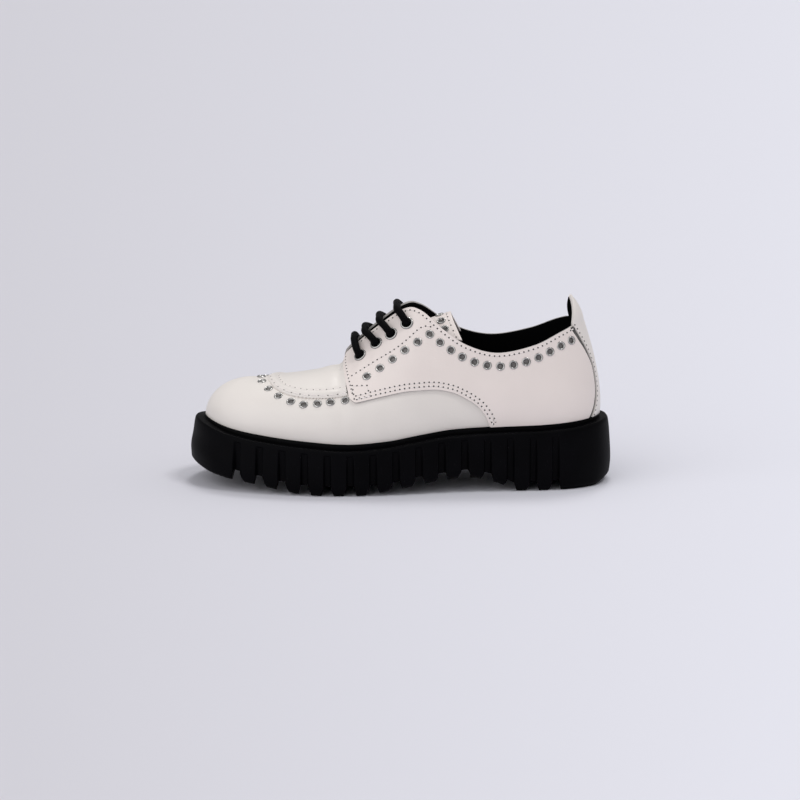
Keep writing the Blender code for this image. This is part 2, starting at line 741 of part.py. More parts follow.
def lace_path():
    """Centre line of the lace: straight bars over the throat, with its runs between them under the facings."""
    half = LACE_DIAMETER / 2
    hover = SEAT_GAP + OVERLAY + half + 0.4
    points = []
    lateral = True
    for number, row in enumerate(EYELETS):
        ends = []
        for side in (lateral, not lateral):
            centre, axis = eyelet_frame(row, side)
            over = row.bar_rib if side else LOOP - row.bar_rib
            edge = wall_offset(over, 1.0, hover)
            between = wall_offset((over + (row.rib if side else LOOP - row.rib)) / 2, (1 + row.up) / 2, hover + 0.4)
            ends.append(turn_into(centre, axis, between - centre, 0.9, 3.4, 3) + [between, edge])
        middle = (ends[0][-1] + ends[1][-1]) / 2 + np.array([0.0, 0.0, 0.6])
        points += ends[0] + [middle] + ends[1][::-1]
        lateral = not lateral
        if number + 1 < len(EYELETS):
            here, axis = eyelet_frame(row, lateral)
            there, next_axis = eyelet_frame(EYELETS[number + 1], lateral)
            points += turn_into(here, axis, there - here, -3.1, 3.2, 3)
            points += turn_into(there, next_axis, here - there, -3.1, 3.2, 3)[::-1]
    return points


def make_lace(material, parent):
    """One round cord, its ends hidden in the first and the last eyelet."""
    path = lace_path()
    curve = bpy.data.curves.new("lace", "CURVE")
    curve.dimensions = "3D"
    curve.bevel_depth = LACE_DIAMETER / 2 * MM
    curve.bevel_resolution = 2
    curve.use_fill_caps = True
    run = curve.splines.new("POLY")
    run.points.add(len(path) - 1)
    for point, place in zip(run.points, path):
        point.co = (*in_metres(place), 1.0)
    curve.materials.append(material)
    lace = bpy.data.objects.new("lace", curve)
    lace.parent = parent
    bpy.context.scene.collection.objects.link(lace)
    return lace


def main():
    """Build every solid, then drill the eyelets' holes."""
    for old in list(bpy.data.objects):
        bpy.data.objects.remove(old, do_unlink=True)
    leather = new_material("white_leather", (0.80, 0.77, 0.74), 0.45)
    lining = new_material("black_lining", (0.012, 0.012, 0.014), 0.8)
    rubber = new_material("black_rubber", (0.010, 0.010, 0.012), 0.5)
    cord = new_material("black_cord", (0.010, 0.010, 0.011), 0.75)
    nickel = new_material("nickel", (0.72, 0.71, 0.70), 0.25, 1.0)
    shoe = bpy.data.objects.new("shoe", None)
    bpy.context.scene.collection.objects.link(shoe)
    make_outsole(rubber, shoe)
    make_welt(rubber, shoe)
    make_insole(lining, shoe)
    upper = make_upper(leather, shoe)
    make_apron(leather, shoe)
    lateral_quarter = make_quarter("quarter_lateral", True, leather, shoe)
    medial_quarter = make_quarter("quarter_medial", False, leather, shoe)
    make_backstay(leather, shoe)
    make_tongue(leather, shoe)
    make_eyelets(nickel, shoe)
    make_lace(cord, shoe)
    for lateral, quarter in ((True, lateral_quarter), (False, medial_quarter)):
        drill = eyelet_holes(lateral)
        cut(upper, drill)
        cut(quarter, drill)


if __name__ == "__main__":
    main()
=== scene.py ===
"""Looks of a left derby shoe: white leather upper, lugged black rubber sole, eyelets, lace and stitching.

Sizes are in millimetres in the shoe's own sections, toe to -X and lateral side to -Y, and become metres
when a mesh is laid. The upper is one function of a place round the loop of ribs and of how far up the rib a
point is. Every leather piece, stitch and eyelet is placed with it.
"""

import logging
import math
from collections.abc import Iterator, Sequence
from contextlib import contextmanager
from dataclasses import dataclass, field, replace
from enum import Enum

import bpy
import numpy as np
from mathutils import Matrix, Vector


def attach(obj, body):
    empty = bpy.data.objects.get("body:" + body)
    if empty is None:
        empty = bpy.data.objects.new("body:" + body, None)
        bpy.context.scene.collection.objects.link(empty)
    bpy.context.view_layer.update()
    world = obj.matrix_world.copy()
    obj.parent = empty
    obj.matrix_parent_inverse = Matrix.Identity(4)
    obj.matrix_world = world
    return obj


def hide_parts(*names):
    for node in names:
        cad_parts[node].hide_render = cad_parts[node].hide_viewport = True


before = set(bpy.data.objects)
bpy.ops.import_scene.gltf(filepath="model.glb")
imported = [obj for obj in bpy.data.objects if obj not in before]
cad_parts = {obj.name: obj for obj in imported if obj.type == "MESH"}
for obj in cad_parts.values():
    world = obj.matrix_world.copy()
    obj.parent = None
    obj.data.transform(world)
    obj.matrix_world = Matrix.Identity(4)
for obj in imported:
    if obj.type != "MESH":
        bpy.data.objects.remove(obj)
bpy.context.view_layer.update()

LOG = logging.getLogger("derby_shoe")

MM = 0.001
WELD = 0.00001

Array = np.ndarray
Values = np.ndarray | float
Rows = Sequence[tuple[float, float]]
Run = tuple[float, float, int]
Colour = tuple[float, float, float]
Piece = bpy.types.Object
Node = bpy.types.Node
Socket = bpy.types.NodeSocket
Inputs = dict[str | int, Socket | float]


class Side(Enum):
    """Side of the shoe, with the sign of its Y."""

    LATERAL = -1
    MEDIAL = 1

    @property
    def word(self) -> str:
        """Name of the side in the names of pieces."""
        return self.name.lower()


class Slot(Enum):
    """Material slots of the part's record."""

    LEATHER = "leather"
    LINING = "lining"
    SOLE = "sole_rubber"
    WELT = "welt_rubber"
    NICKEL = "nickel"
    LACE = "lace_cord"


def smooth_profile(rows: Rows, x: Values) -> Array:
    """Height at x by a monotone cubic, so that flat runs stay flat.

    Args:
        rows: stations of x and height, in order of x.
        x: where to read the height.

    Returns:
        Height at each x.
    """
    table = np.array(rows, float)
    xs, zs = table[:, 0], table[:, 1]
    step = np.diff(xs)
    slope = np.diff(zs) / step
    tangent = np.zeros(len(xs))
    same = slope[:-1] * slope[1:] > 0
    mean = 2 * slope[:-1] * slope[1:] / np.where(same, slope[:-1] + slope[1:], 1)
    tangent[1:-1] = np.where(same, mean, 0.0)
    tangent[0], tangent[-1] = slope[0], slope[-1]
    x = np.clip(np.asarray(x, float), xs[0], xs[-1])
    i = np.clip(np.searchsorted(xs, x, side="right") - 1, 0, len(xs) - 2)
    t = (x - xs[i]) / step[i]
    rise = zs[i] + step[i] * t * (1 - t) * ((1 - t) * tangent[i] - t * tangent[i + 1])
    return rise + (zs[i + 1] - zs[i]) * t * t * (3 - 2 * t)


def soft_step(value: Values) -> Array:
    """Smooth rise from 0 to 1 as the value goes from 0 to 1."""
    t = np.clip(value, 0.0, 1.0)
    return t * t * (3 - 2 * t)


def unit(vectors: Array) -> Array:
    """Vectors scaled to a length of one."""
    return vectors / np.linalg.norm(vectors, axis=-1, keepdims=True)


def cubic(before: Array, here: Array, after: Array, beyond: Array, t: Array) -> Array:
    """Smooth curve between the middle two of four points.

    Args:
        before: point before the span.
        here: start of the span.
        after: end of the span.
        beyond: point after the span.
        t: share of the way from start to end.

    Returns:
        Points of the curve.
    """
    bend = 2 * before - 5 * here + 4 * after - beyond
    turn = 3 * (here - after) + beyond - before
    return here + 0.5 * t * (after - before + t * (bend + t * turn))


def bell(x: Array, middle: Values, width: float) -> Array:
    """Bell curve with a height of one."""
    return np.exp(-(((x - middle) / width) ** 2))


def through(points: Array, per_span: int) -> Array:
    """Smooth open curve through points.

    Args:
        points: points in order, of any dimension.
        per_span: steps between two neighbouring points.

    Returns:
        Points along the curve.
    """
    points = np.asarray(points, float)
    padded = np.concatenate([2 * points[:1] - points[1:2], points, 2 * points[-1:] - points[-2:-1]])
    t = np.linspace(0.0, 1.0, per_span, endpoint=False)[:, None]
    spans = [cubic(*four, t) for four in zip(padded, padded[1:], padded[2:], padded[3:])]
    return np.concatenate([*spans, points[-1:]])


def reach_of(line: Array) -> Array:
    """Length along a polyline at each of its points."""
    return np.concatenate([[0.0], np.cumsum(np.linalg.norm(np.diff(line, axis=0), axis=1))])


def evenly(line: Array, spans: int) -> Array:
    """Fractional indexes of marks that divide a polyline into even steps.

    Args:
        line: points of the polyline.
        spans: number of steps.

    Returns:
        Index of each mark, with its share of the way to the next point.
    """
    reach = reach_of(line)
    return np.interp(np.linspace(0.0, reach[-1], spans + 1), reach, np.arange(len(line)))


def read_at(values: Array, indexes: Array) -> Array:
    """Values of a table at fractional row indexes."""
    rows = np.arange(len(values))
    return np.stack([np.interp(indexes, rows, values[:, k]) for k in range(values.shape[1])], -1)


@dataclass(frozen=True)
class Rib:
    """One rib of the upper, from the feather line to the crown or the open edge."""

    name: str
    foot_x: float
    foot_lat: float
    foot_med: float
    top_x: float
    crown_y: float
    half_gap: float
    top_z: float
    med_up: float
    bulge: float
    rise: float
    steep: float
    reach: float


RIBS = (
    Rib("toe_tip", -132.4, 5.0, 5.0, -113.0, 5.0, 0.0, 65.6, 0, -0.6, 9.5, 20, 12.6),
    Rib("toe_front", -128.3, -9.5, 19.5, -109.5, 4.6, 0.0, 66.6, 0, 0.4, 10.0, 15, 14.0),
    Rib("toe_corner", -118.0, -23.0, 32.0, -103.0, 4.0, 0.0, 67.9, 0, 1.6, 12.0, 8, 18.0),
    Rib("toe_side", -101.0, -33.5, 39.8, -92.0, 3.0, 0.0, 68.0, 0, 2.4, 15.0, 3, 23.0),
    Rib("vamp", -74.0, -42.5, 44.6, -72.0, 1.5, 0.0, 68.5, 0, 3.4, 20.0, 0, 27.0),
    Rib("ball", -50.0, -46.3, 45.3, -52.0, 0.6, 0.0, 72.2, 0, 4.0, 23.0, 0, 27.0),
    Rib("throat", -38.0, -46.4, 44.2, -40.4, 0.2, 0.0, 76.2, 0, 4.0, 25.0, 6, 25.0),
    Rib("facing_foot", -29.0, -46.2, 43.0, -34.0, 0.0, 4.6, 86.2, 0.9, 4.0, 26.0, 24, 24.0),
    Rib("facing_mid", -10.0, -44.6, 39.8, -15.5, 0.0, 6.8, 102.6, 0.9, 3.8, 27.0, 38, 24.0),
    Rib("facing_head", 8.0, -41.6, 36.6, 3.0, 0.4, 10.0, 115.8, 0.4, 3.6, 27.0, 48, 25.0),
    Rib("corner", 22.0, -38.8, 34.4, 14.0, 0.6, 14.0, 115.6, 0, 3.6, 26.0, 58, 24.0),
    Rib("collar_front", 38.0, -35.8, 32.8, 29.0, 1.0, 21.0, 104.0, 1, 3.6, 24.0, 72, 20.0),
    Rib("collar_dip", 53.0, -33.5, 32.0, 45.0, 1.4, 25.6, 94.2, 2, 3.4, 21.0, 80, 17.0),
    Rib("collar_low", 72.0, -31.4, 31.6, 65.0, 1.8, 27.2, 89.4, 3.4, 3.4, 19.0, 84, 15.0),
    Rib("collar_rise", 95.0, -29.6, 31.2, 89.0, 2.2, 24.8, 93.9, 3.6, 3.2, 18.5, 84, 16.0),
    Rib("heel_side", 113.0, -25.6, 29.2, 106.0, 2.4, 19.0, 101.4, 3.2, 2.8, 18.0, 80, 17.0),
    Rib("heel_turn", 126.4, -17.2, 21.8, 116.8, 2.5, 11.4, 106.0, 2.2, 2.4, 18.0, 75, 18.0),
    Rib("heel_near", 132.5, -7.6, 12.6, 121.2, 2.5, 5.2, 107.0, 0.8, 2.0, 18.0, 72, 18.0),
    Rib("heel_back", 134.2, 2.5, 2.5, 122.4, 2.5, 0.0, 107.4, 0, 1.9, 18.0, 71, 18.0),
)
HEEL_RIB = len(RIBS) - 1
HEEL_GAP = 0.26
LOOP = 2 * HEEL_RIB
THROAT_RIB = 6

RIM_PROFILE = (
    (-142, 41.6), (-126, 37.4), (-112, 34.6), (-90, 31.9), (-60, 29.3), (-34, 27.8), (-10, 29.4),
    (14, 33.2), (36, 36.1), (60, 37.1), (95, 38.1), (122, 39.9), (142, 42.0),
)
TREAD_PROFILE = (
    (-145, 13.0), (-130, 8.2), (-100, 3.8), (-72, -0.4), (-54, -2.0), (-30, -2.0), (-12, 0.2),
    (4, 2.8), (20, 5.4), (44, 8.2), (66, 3.5), (78, -2.0), (130, -2.0), (145, 1.5),
)
NOTCH_PROFILE = ((-110, 7.0), (-40, 7.0), (0, 5.8), (40, 5.3), (72, 5.8), (104, 7.0))


@dataclass(frozen=True)
class Last:
    """The shape that the shoe is made on: feather line, ribs of the upper and side profile of the sole."""

    centre: tuple[float, float, float] = (0.4, -0.63, -2.0)
    welt_height: float = 3.7
    wall: float = 1.8
    overlay: float = 1.6
    crown_blend: float = 0.03
    columns: Array = field(init=False, repr=False, compare=False)

    def __post_init__(self) -> None:
        """Lay the ribs out as one closed loop: toe tip, lateral side, heel back, medial side."""
        rows = []
        for place in range(LOOP):
            lateral = place <= HEEL_RIB
            rib = RIBS[place] if lateral else RIBS[LOOP - place]
            foot_y = rib.foot_lat if lateral else rib.foot_med
            gap = -rib.half_gap if lateral else rib.half_gap
            top_z = rib.top_z + (0 if lateral else rib.med_up)
            shape = (rib.bulge, rib.rise, math.radians(rib.steep), rib.reach)
            rows.append((rib.foot_x, foot_y, rib.top_x, rib.crown_y, gap, top_z, *shape))
        object.__setattr__(self, "columns", np.array(rows))

    def place(self, rib: Values, side: Side) -> Array:
        """Place on the loop of a rib number on one side."""
        rib = np.asarray(rib, float)
        return rib if side is Side.LATERAL else LOOP - rib

    def around(self, place: Array) -> Array:
        """Every rib column at a place on the loop, by a closed cubic through the ribs.

        Args:
            place: place on the loop.

        Returns:
            One row of columns for each place.
        """
        place = np.mod(np.asarray(place, float), LOOP)
        i = np.floor(place).astype(int)
        t = (place - i)[..., None]
        return cubic(*(self.columns[(i + k) % LOOP] for k in (-1, 0, 1, 2)), t)

    def feather(self, place: Array) -> tuple[Array, Array]:
        """The feather line in plan, where the upper meets the sole.

        Args:
            place: place round the shoe.

        Returns:
            Points of the line, and the outward direction at each.
        """
        step = 0.02
        along = unit(self.around(place + step)[..., :2] - self.around(place - step)[..., :2])
        return self.around(place)[..., :2], np.stack([along[..., 1], -along[..., 0]], -1)

    def rim_z(self, x: Array) -> Array:
        """Height of the sole's rim."""
        return smooth_profile(RIM_PROFILE, x)

    def tread_z(self, x: Array) -> Array:
        """Height of the tread's underside between notches."""
        return smooth_profile(TREAD_PROFILE, x)

    def on_crown(self, place: Array) -> Array:
        """True where the two sides of the upper meet on the crown."""
        place = np.mod(place, LOOP)
        return np.minimum(place, LOOP - place) <= THROAT_RIB

    def point(self, place: Array, up: Array) -> Array:
        """Point on the outside of the upper.

        Args:
            place: place on the loop of ribs.
            up: 0 at the feather line, 1 at the crown or the open edge.

        Returns:
            Points in millimetres.
        """
        place, up = np.broadcast_arrays(np.asarray(place, float), np.asarray(up, float))
        _, _, top_x, crown_y, gap, top_z, *shape = np.moveaxis(self.around(place), -1, 0)
        bulge, rise, steep, reach = (value[..., None] for value in shape)
        plan, out = self.feather(place)
        foot = np.stack([plan[..., 0], plan[..., 1], self.rim_z(plan[..., 0]) + self.welt_height], -1)
        top = np.stack([top_x, crown_y + np.where(self.on_crown(place), 0.0, gap), top_z], -1)
        outward = np.concatenate([out, np.zeros_like(out[..., :1])], -1)
        upward = np.array([0.0, 0.0, 1.0])
        low = foot + outward * bulge + upward * rise
        high = top + (outward * np.cos(steep) - upward * np.sin(steep)) * reach
        t = up[..., None]
        return foot * (1 - t) ** 3 + low * 3 * t * (1 - t) ** 2 + high * 3 * t * t * (1 - t) + top * t**3

    def slopes(self, place: Array, up: Array) -> tuple[Array, Array]:
        """How the point moves for one rib along the loop and for one whole rib up.

        Args:
            place: place on the loop.
            up: share of the way up the rib.

        Returns:
            The two slopes, in millimetres.
        """
        step = 0.01
        along = (self.point(place + step, up) - self.point(place - step, up)) / (2 * step)
        above, below = np.minimum(up + step, 1.0), np.maximum(up - step, 0.0)
        climb = (self.point(place, above) - self.point(place, below)) / (above - below)[..., None]
        return along, climb

    def normal(self, place: Array, up: Array) -> Array:
        """Outward normal of the upper. On the closed crown the two sides share one.

        Args:
            place: place on the loop.
            up: share of the way up the rib.

        Returns:
            Unit normals.
        """
        place, up = np.broadcast_arrays(np.asarray(place, float), np.asarray(up, float))
        own = unit(np.cross(*self.slopes(place, up)))
        other = unit(np.cross(*self.slopes(-place, up)))
        near = soft_step(1 - (1 - up) / self.crown_blend) * self.on_crown(place)
        return unit(own + other * near[..., None])

    def offset(self, place: Array, up: Array, distance: Values) -> Array:
        """Point at a distance outside the upper."""
        distance = np.asarray(distance, float)[..., None]
        return self.point(place, up) + self.normal(place, up) * distance

    def inset(self, marks: Array, distance: float) -> Array:
        """Line of (place, up) marks moved sideways on the leather.

        Args:
            marks: dense line of marks.
            distance: how far to its left it moves, seen from outside.

        Returns:
            The moved marks.
        """
        place, up = marks[:, 0], marks[:, 1]
        along, climb = self.slopes(place, up)
        line = unit(np.gradient(self.point(place, up), axis=0))
        left = np.cross(self.normal(place, up), line) * distance
        aa, ac, cc = ((u * v).sum(-1) for u, v in ((along, along), (along, climb), (climb, climb)))
        la, lc = (left * along).sum(-1), (left * climb).sum(-1)
        scale = aa * cc - ac * ac
        moved = np.stack([(la * cc - lc * ac) / scale, (lc * aa - la * ac) / scale], -1)
        return marks + moved

    def in_metres(self, points: Array) -> Array:
        """Points of the sections, in the frame of the part."""
        return (np.asarray(points) - self.centre) * MM


LAST = Last()


def deselect() -> None:
    """Leave edit mode and deselect everything."""
    if bpy.context.object and bpy.context.object.mode != "OBJECT":
        bpy.ops.object.mode_set(mode="OBJECT")
    bpy.ops.object.select_all(action="DESELECT")


def pick(piece: Piece) -> None:
    """Make one piece the only selected and active one.

    Args:
        piece: object to pick.
    """
    deselect()
    piece.select_set(True)
    bpy.context.view_layer.objects.active = piece


@contextmanager
def editing(piece: Piece) -> Iterator[None]:
    """Edit mode on one piece, with everything in it selected.

    Args:
        piece: mesh object to edit.
    """
    pick(piece)
    bpy.ops.object.mode_set(mode="EDIT")
    bpy.ops.mesh.select_all(action="SELECT")
    yield
    bpy.ops.object.mode_set(mode="OBJECT")


def lay(piece: Piece, points: Array) -> None:
    """Put the vertices of a piece on points in metres."""
    piece.data.vertices.foreach_set("co", np.asarray(points, np.float32).ravel())
    piece.data.update()


def sheet(name: str, points: Array) -> Piece:
    """Grid laid over an array of points.

    Args:
        name: name of the piece.
        points: rows and columns of points in millimetres.

    Returns:
        The mesh object, open at its edges.
    """
    rows, columns = points.shape[:2]
    deselect()
    bpy.ops.mesh.primitive_grid_add(x_subdivisions=columns - 1, y_subdivisions=rows - 1, size=MM)
    piece = bpy.context.object
    piece.name = name
    piece.data.name = name
    lay(piece, LAST.in_metres(points).reshape(-1, 3))
    return piece


def weld(piece: Piece, recalculate: bool = False) -> None:
    """Merge doubled vertices and, for a closed shape, turn its faces outwards.

    Args:
        piece: mesh object.
        recalculate: true for a closed shape.
    """
    with editing(piece):
        bpy.ops.mesh.remove_doubles(threshold=WELD)
        if recalculate:
            bpy.ops.mesh.normals_make_consistent(inside=False)


def cap(piece: Piece) -> None:
    """Close the open ends of a piece with one face each and turn its faces outwards.

    Args:
        piece: mesh object to close.
    """
    with editing(piece):
        bpy.ops.mesh.fill_holes(sides=0)
    weld(piece, recalculate=True)


def apply_modifier(piece: Piece, modifier: bpy.types.Modifier) -> None:
    """Apply one modifier by hand."""
    pick(piece)
    bpy.ops.object.modifier_apply(modifier=modifier.name)


def thicken(piece: Piece, thickness: float) -> None:
    """Give an outer sheet its thickness inwards: material 0 outside, 1 inside and 2 on the cut edge.

    Args:
        piece: open sheet with its faces outwards.
        thickness: thickness in millimetres.
    """
    solidify = piece.modifiers.new("thickness", "SOLIDIFY")
    solidify.thickness = thickness * MM
    solidify.offset = -1.0
    solidify.use_even_offset = True
    solidify.use_quality_normals = True
    solidify.material_offset = 1
    solidify.material_offset_rim = 2
    apply_modifier(piece, solidify)


def round_edges(piece: Piece, width: float, segments: int = 2, angle: float = 50.0) -> None:
    """Round the sharp edges of a piece.

    Args:
        piece: mesh object.
        width: width of the rounding in millimetres.
        segments: steps across it.
        angle: edges sharper than this many degrees are rounded.
    """
    bevel = piece.modifiers.new("rounding", "BEVEL")
    bevel.width = width * MM
    bevel.segments = segments
    bevel.limit_method = "ANGLE"
    bevel.angle_limit = math.radians(angle)
    apply_modifier(piece, bevel)


def drill(piece: Piece, tool: Piece) -> None:
    """Take a tool's shape away from a piece, then put the tool away.

    Args:
        piece: piece to drill.
        tool: shape of the holes, which is removed afterwards.
    """
    boolean = piece.modifiers.new("holes", "BOOLEAN")
    boolean.operation = "DIFFERENCE"
    boolean.solver = "EXACT"
    boolean.object = tool
    apply_modifier(piece, boolean)
    bpy.data.objects.remove(tool)


def smooth(piece: Piece, angle: float = 38.0) -> None:
    """Shade a piece smooth up to an angle in degrees."""
    pick(piece)
    bpy.ops.object.shade_smooth_by_angle(angle=math.radians(angle))


def turned(name: str, section: Rows, sides: int) -> Piece:
    """Closed section spun into a ring about Z.

    Args:
        name: name of the ring.
        section: (radius, height) points in millimetres.
        sides: steps round the ring.

    Returns:
        The ring, at the origin.
    """
    deselect()
    bpy.ops.mesh.primitive_circle_add(vertices=len(section), radius=MM)
    ring = bpy.context.object
    ring.name = name
    lay(ring, [(radius * MM, 0.0, height * MM) for radius, height in section])
    with editing(ring):
        bpy.ops.mesh.spin(steps=sides, angle=2 * math.pi, center=(0, 0, 0), axis=(0, 0, 1))
    weld(ring, recalculate=True)
    return ring


def frames_on(points: Array, normals: Array, along: Array) -> Array:
    """Frames for small pieces on a surface.

    Args:
        points: where they sit, in millimetres.
        normals: direction of their local Z.
        along: rough direction of their local X.

    Returns:
        Matrices of three columns of axes and one of place, in metres.
    """
    normals = unit(normals)
    across = unit(np.cross(normals, along))
    return np.stack([np.cross(across, normals), across, normals, LAST.in_metres(points)], -1)


def copies(name: str, model: Piece, frames: Array) -> Piece:
    """Copies of one small modelled shape, joined into one mesh.

    Args:
        name: name of the joined piece.
        model: the shape, which is removed afterwards.
        frames: one matrix for each copy.

    Returns:
        The joined piece.
    """
    source = model.data
    corners = np.array([vertex.co for vertex in source.vertices])
    placed = np.einsum("kij,vj->kvi", frames[:, :, :3], corners) + frames[:, None, :, 3]
    faces = [tuple(face.vertices) for face in source.polygons]
    size = len(corners)
    mesh = bpy.data.meshes.new(name)
    joined = [tuple(v + size * k for v in face) for k in range(len(frames)) for face in faces]
    mesh.from_pydata(placed.reshape(-1, 3).tolist(), [], joined)
    numbers = [face.material_index for face in source.polygons]
    mesh.polygons.foreach_set("material_index", numbers * len(frames))
    piece = bpy.data.objects.new(name, mesh)
    bpy.context.scene.collection.objects.link(piece)
    bpy.data.objects.remove(model)
    return piece


class Nodes:
    """Short way of writing a node tree."""

    def __init__(self, tree: bpy.types.NodeTree) -> None:
        """Keep the tree to write in."""
        self.tree = tree

    def fill(self, node: Node, inputs: Inputs) -> None:
        """Link or set the inputs of a node.

        Args:
            node: the node.
            inputs: socket or value of each input, by its name or number.
        """
        for name, given in inputs.items():
            if isinstance(given, Socket):
                self.tree.links.new(given, node.inputs[name])
            else:
                node.inputs[name].default_value = given

    def add(self, kind: str, inputs: Inputs, **settings: object) -> Node:
        """New node of a kind, with its settings and inputs.

        Args:
            kind: Blender's name of the node.
            inputs: socket or value of each input.
            settings: properties of the node.

        Returns:
            The node.
        """
        node = self.tree.nodes.new(kind)
        for name, value in settings.items():
            setattr(node, name, value)
        self.fill(node, inputs)
        return node

    def place(self, kind: str) -> Socket:
        """Texture coordinates of a kind."""
        return self.add("ShaderNodeTexCoord", {}).outputs[kind]

    def split(self, vector: Socket) -> tuple[Socket, Socket]:
        """X and Y of a vector."""
        parts = self.add("ShaderNodeSeparateXYZ", {"Vector": vector})
        return parts.outputs["X"], parts.outputs["Y"]

    def math(self, operation: str, *values: Socket | float) -> Socket:
        """Result of a math node on sockets or numbers."""
        return self.add("ShaderNodeMath", dict(enumerate(values)), operation=operation).outputs[0]

    def noise(self, place: Socket, scale: Socket | float, detail: float) -> Socket:
        """Value of a noise texture at a place, with its scale in waves a metre."""
        inputs = {"Vector": place, "Scale": scale, "Detail": detail}
        return self.add("ShaderNodeTexNoise", inputs).outputs["Fac"]

    def between(self, value: Socket, low: float, high: float) -> Socket:
        """Value from 0 to 1 spread between two numbers."""
        inputs = {"Value": value, "To Min": low, "To Max": high}
        return self.add("ShaderNodeMapRange", inputs).outputs["Result"]

    def ramp(self, value: Socket, stops: Sequence[tuple[float, Colour]]) -> Socket:
        """Colour of a value between two colour stops.

        Args:
            value: socket of the value.
            stops: position and colour of each stop.

        Returns:
            Socket of the colour.
        """
        node = self.add("ShaderNodeValToRGB", {"Fac": value})
        for element, (position, colour) in zip(node.color_ramp.elements, stops):
            element.position = position
            element.color = (*colour, 1.0)
        return node.outputs["Color"]


def shade(colour: Colour, factor: float) -> Colour:
    """A colour made lighter or darker."""
    return tuple(channel * factor for channel in colour)


def grain_group() -> bpy.types.NodeTree:
    """Grain shared by every finish of the shoe but the cord: fine cells and broad mottle.

    Returns:
        The node group, with a place and two scales in, and a height and a mottle out.
    """
    name = "surface_grain"
    pore_scale = 0.6
    pore_detail = 3.0
    cloud_detail = 2.0
    cell_weight = -0.7
    found = bpy.data.node_groups.get(name)
    if found:
        return found
    group = bpy.data.node_groups.new(name, "ShaderNodeTree")
    group.interface.new_socket("Place", in_out="INPUT", socket_type="NodeSocketVector")
    for way, sockets in (("INPUT", ("Cells", "Clouds")), ("OUTPUT", ("Height", "Mottle"))):
        for socket in sockets:
            group.interface.new_socket(socket, in_out=way, socket_type="NodeSocketFloat")
    nodes = Nodes(group)
    place, cells, clouds = list(nodes.add("NodeGroupInput", {}).outputs)[:3]
    pattern = nodes.add("ShaderNodeTexVoronoi", {"Vector": place, "Scale": cells}, feature="SMOOTH_F1")
    pores = nodes.noise(place, nodes.math("MULTIPLY", cells, pore_scale), pore_detail)
    height = nodes.math("MULTIPLY_ADD", pattern.outputs["Distance"], cell_weight, pores)
    mottle = nodes.noise(place, clouds, cloud_detail)
    nodes.add("NodeGroupOutput", {"Height": height, "Mottle": mottle})
    return group


@dataclass(frozen=True)
class Finish:
    """Finish of a surface with grain, mottled colour and varied gloss."""

    name: str
    colour: Colour
    roughness: float
    metallic: float = 0.0
    coat: float = 0.0
    coat_roughness: float = 0.3
    specular: float = 0.5
    cells: float = 1000.0
    clouds: float = 40.0
    depth: float = 0.05
    mottle: float = 0.05
    mottle_ends: tuple[float, float] = (0.3, 0.7)
    gloss_spread: float = 0.08

    def material(self) -> bpy.types.Material:
        """Material of the finish, made once.

        Returns:
            The material.
        """
        found = bpy.data.materials.get(self.name)
        if found:
            return found
        made = bpy.data.materials.new(self.name)
        made.use_nodes = True
        made.diffuse_color = (*self.colour, 1.0)
        nodes = Nodes(made.node_tree)
        colour, tone, height = self.surface(nodes)
        low, high = self.roughness - self.gloss_spread, self.roughness + self.gloss_spread
        relief = {"Distance": self.depth * MM, "Strength": 1.0, "Height": height}
        inputs = {
            "Base Color": colour,
            "Roughness": nodes.between(tone, low, high),
            "Normal": nodes.add("ShaderNodeBump", relief).outputs["Normal"],
            "Metallic": self.metallic,
            "Coat Weight": self.coat,
            "Coat Roughness": self.coat_roughness,
            "Specular IOR Level": self.specular,
        }
        nodes.fill(made.node_tree.nodes["Principled BSDF"], inputs)
        return made

    def surface(self, nodes: Nodes) -> tuple[Socket, Socket, Socket]:
        """What the shader shows.

        Args:
            nodes: the material's tree.

        Returns:
            Sockets of the colour, of the tone that the gloss follows and of the height of the relief.
        """
        inputs = {"Place": nodes.place("Object"), "Cells": self.cells, "Clouds": self.clouds}
        grain = nodes.add("ShaderNodeGroup", inputs, node_tree=grain_group())
        mottle = grain.outputs["Mottle"]
        return self.mottled(nodes, mottle), mottle, grain.outputs["Height"]

    def mottled(self, nodes: Nodes, tone: Socket) -> Socket:
        """The colour, darker at one end of a tone and lighter at the other."""
        shades = (shade(self.colour, 1 - self.mottle), shade(self.colour, 1 + self.mottle))
        return nodes.ramp(tone, tuple(zip(self.mottle_ends, shades)))


@dataclass(frozen=True)
class Braid(Finish):
    """Braided cord: two sets of strands that cross, laid out on the cord's own UV."""

    turns: float = 8.0
    picks: float = 260.0

    def surface(self, nodes: Nodes) -> tuple[Socket, Socket, Socket]:
        """What the shader shows: crossing strands.

        Args:
            nodes: the material's tree.

        Returns:
            Sockets of the colour, of the tone that the gloss follows and of the height of the relief.
        """
        u, v = nodes.split(nodes.place("UV"))
        about = nodes.math("MULTIPLY", u, 2 * math.pi * self.turns)
        along = nodes.math("MULTIPLY", v, 2 * math.pi * self.picks)
        strands = [nodes.math("SINE", nodes.math(way, about, along)) for way in ("ADD", "SUBTRACT")]
        height = nodes.between(nodes.math("MAXIMUM", *strands), 0.0, 1.0)
        return self.mottled(nodes, height), height, height


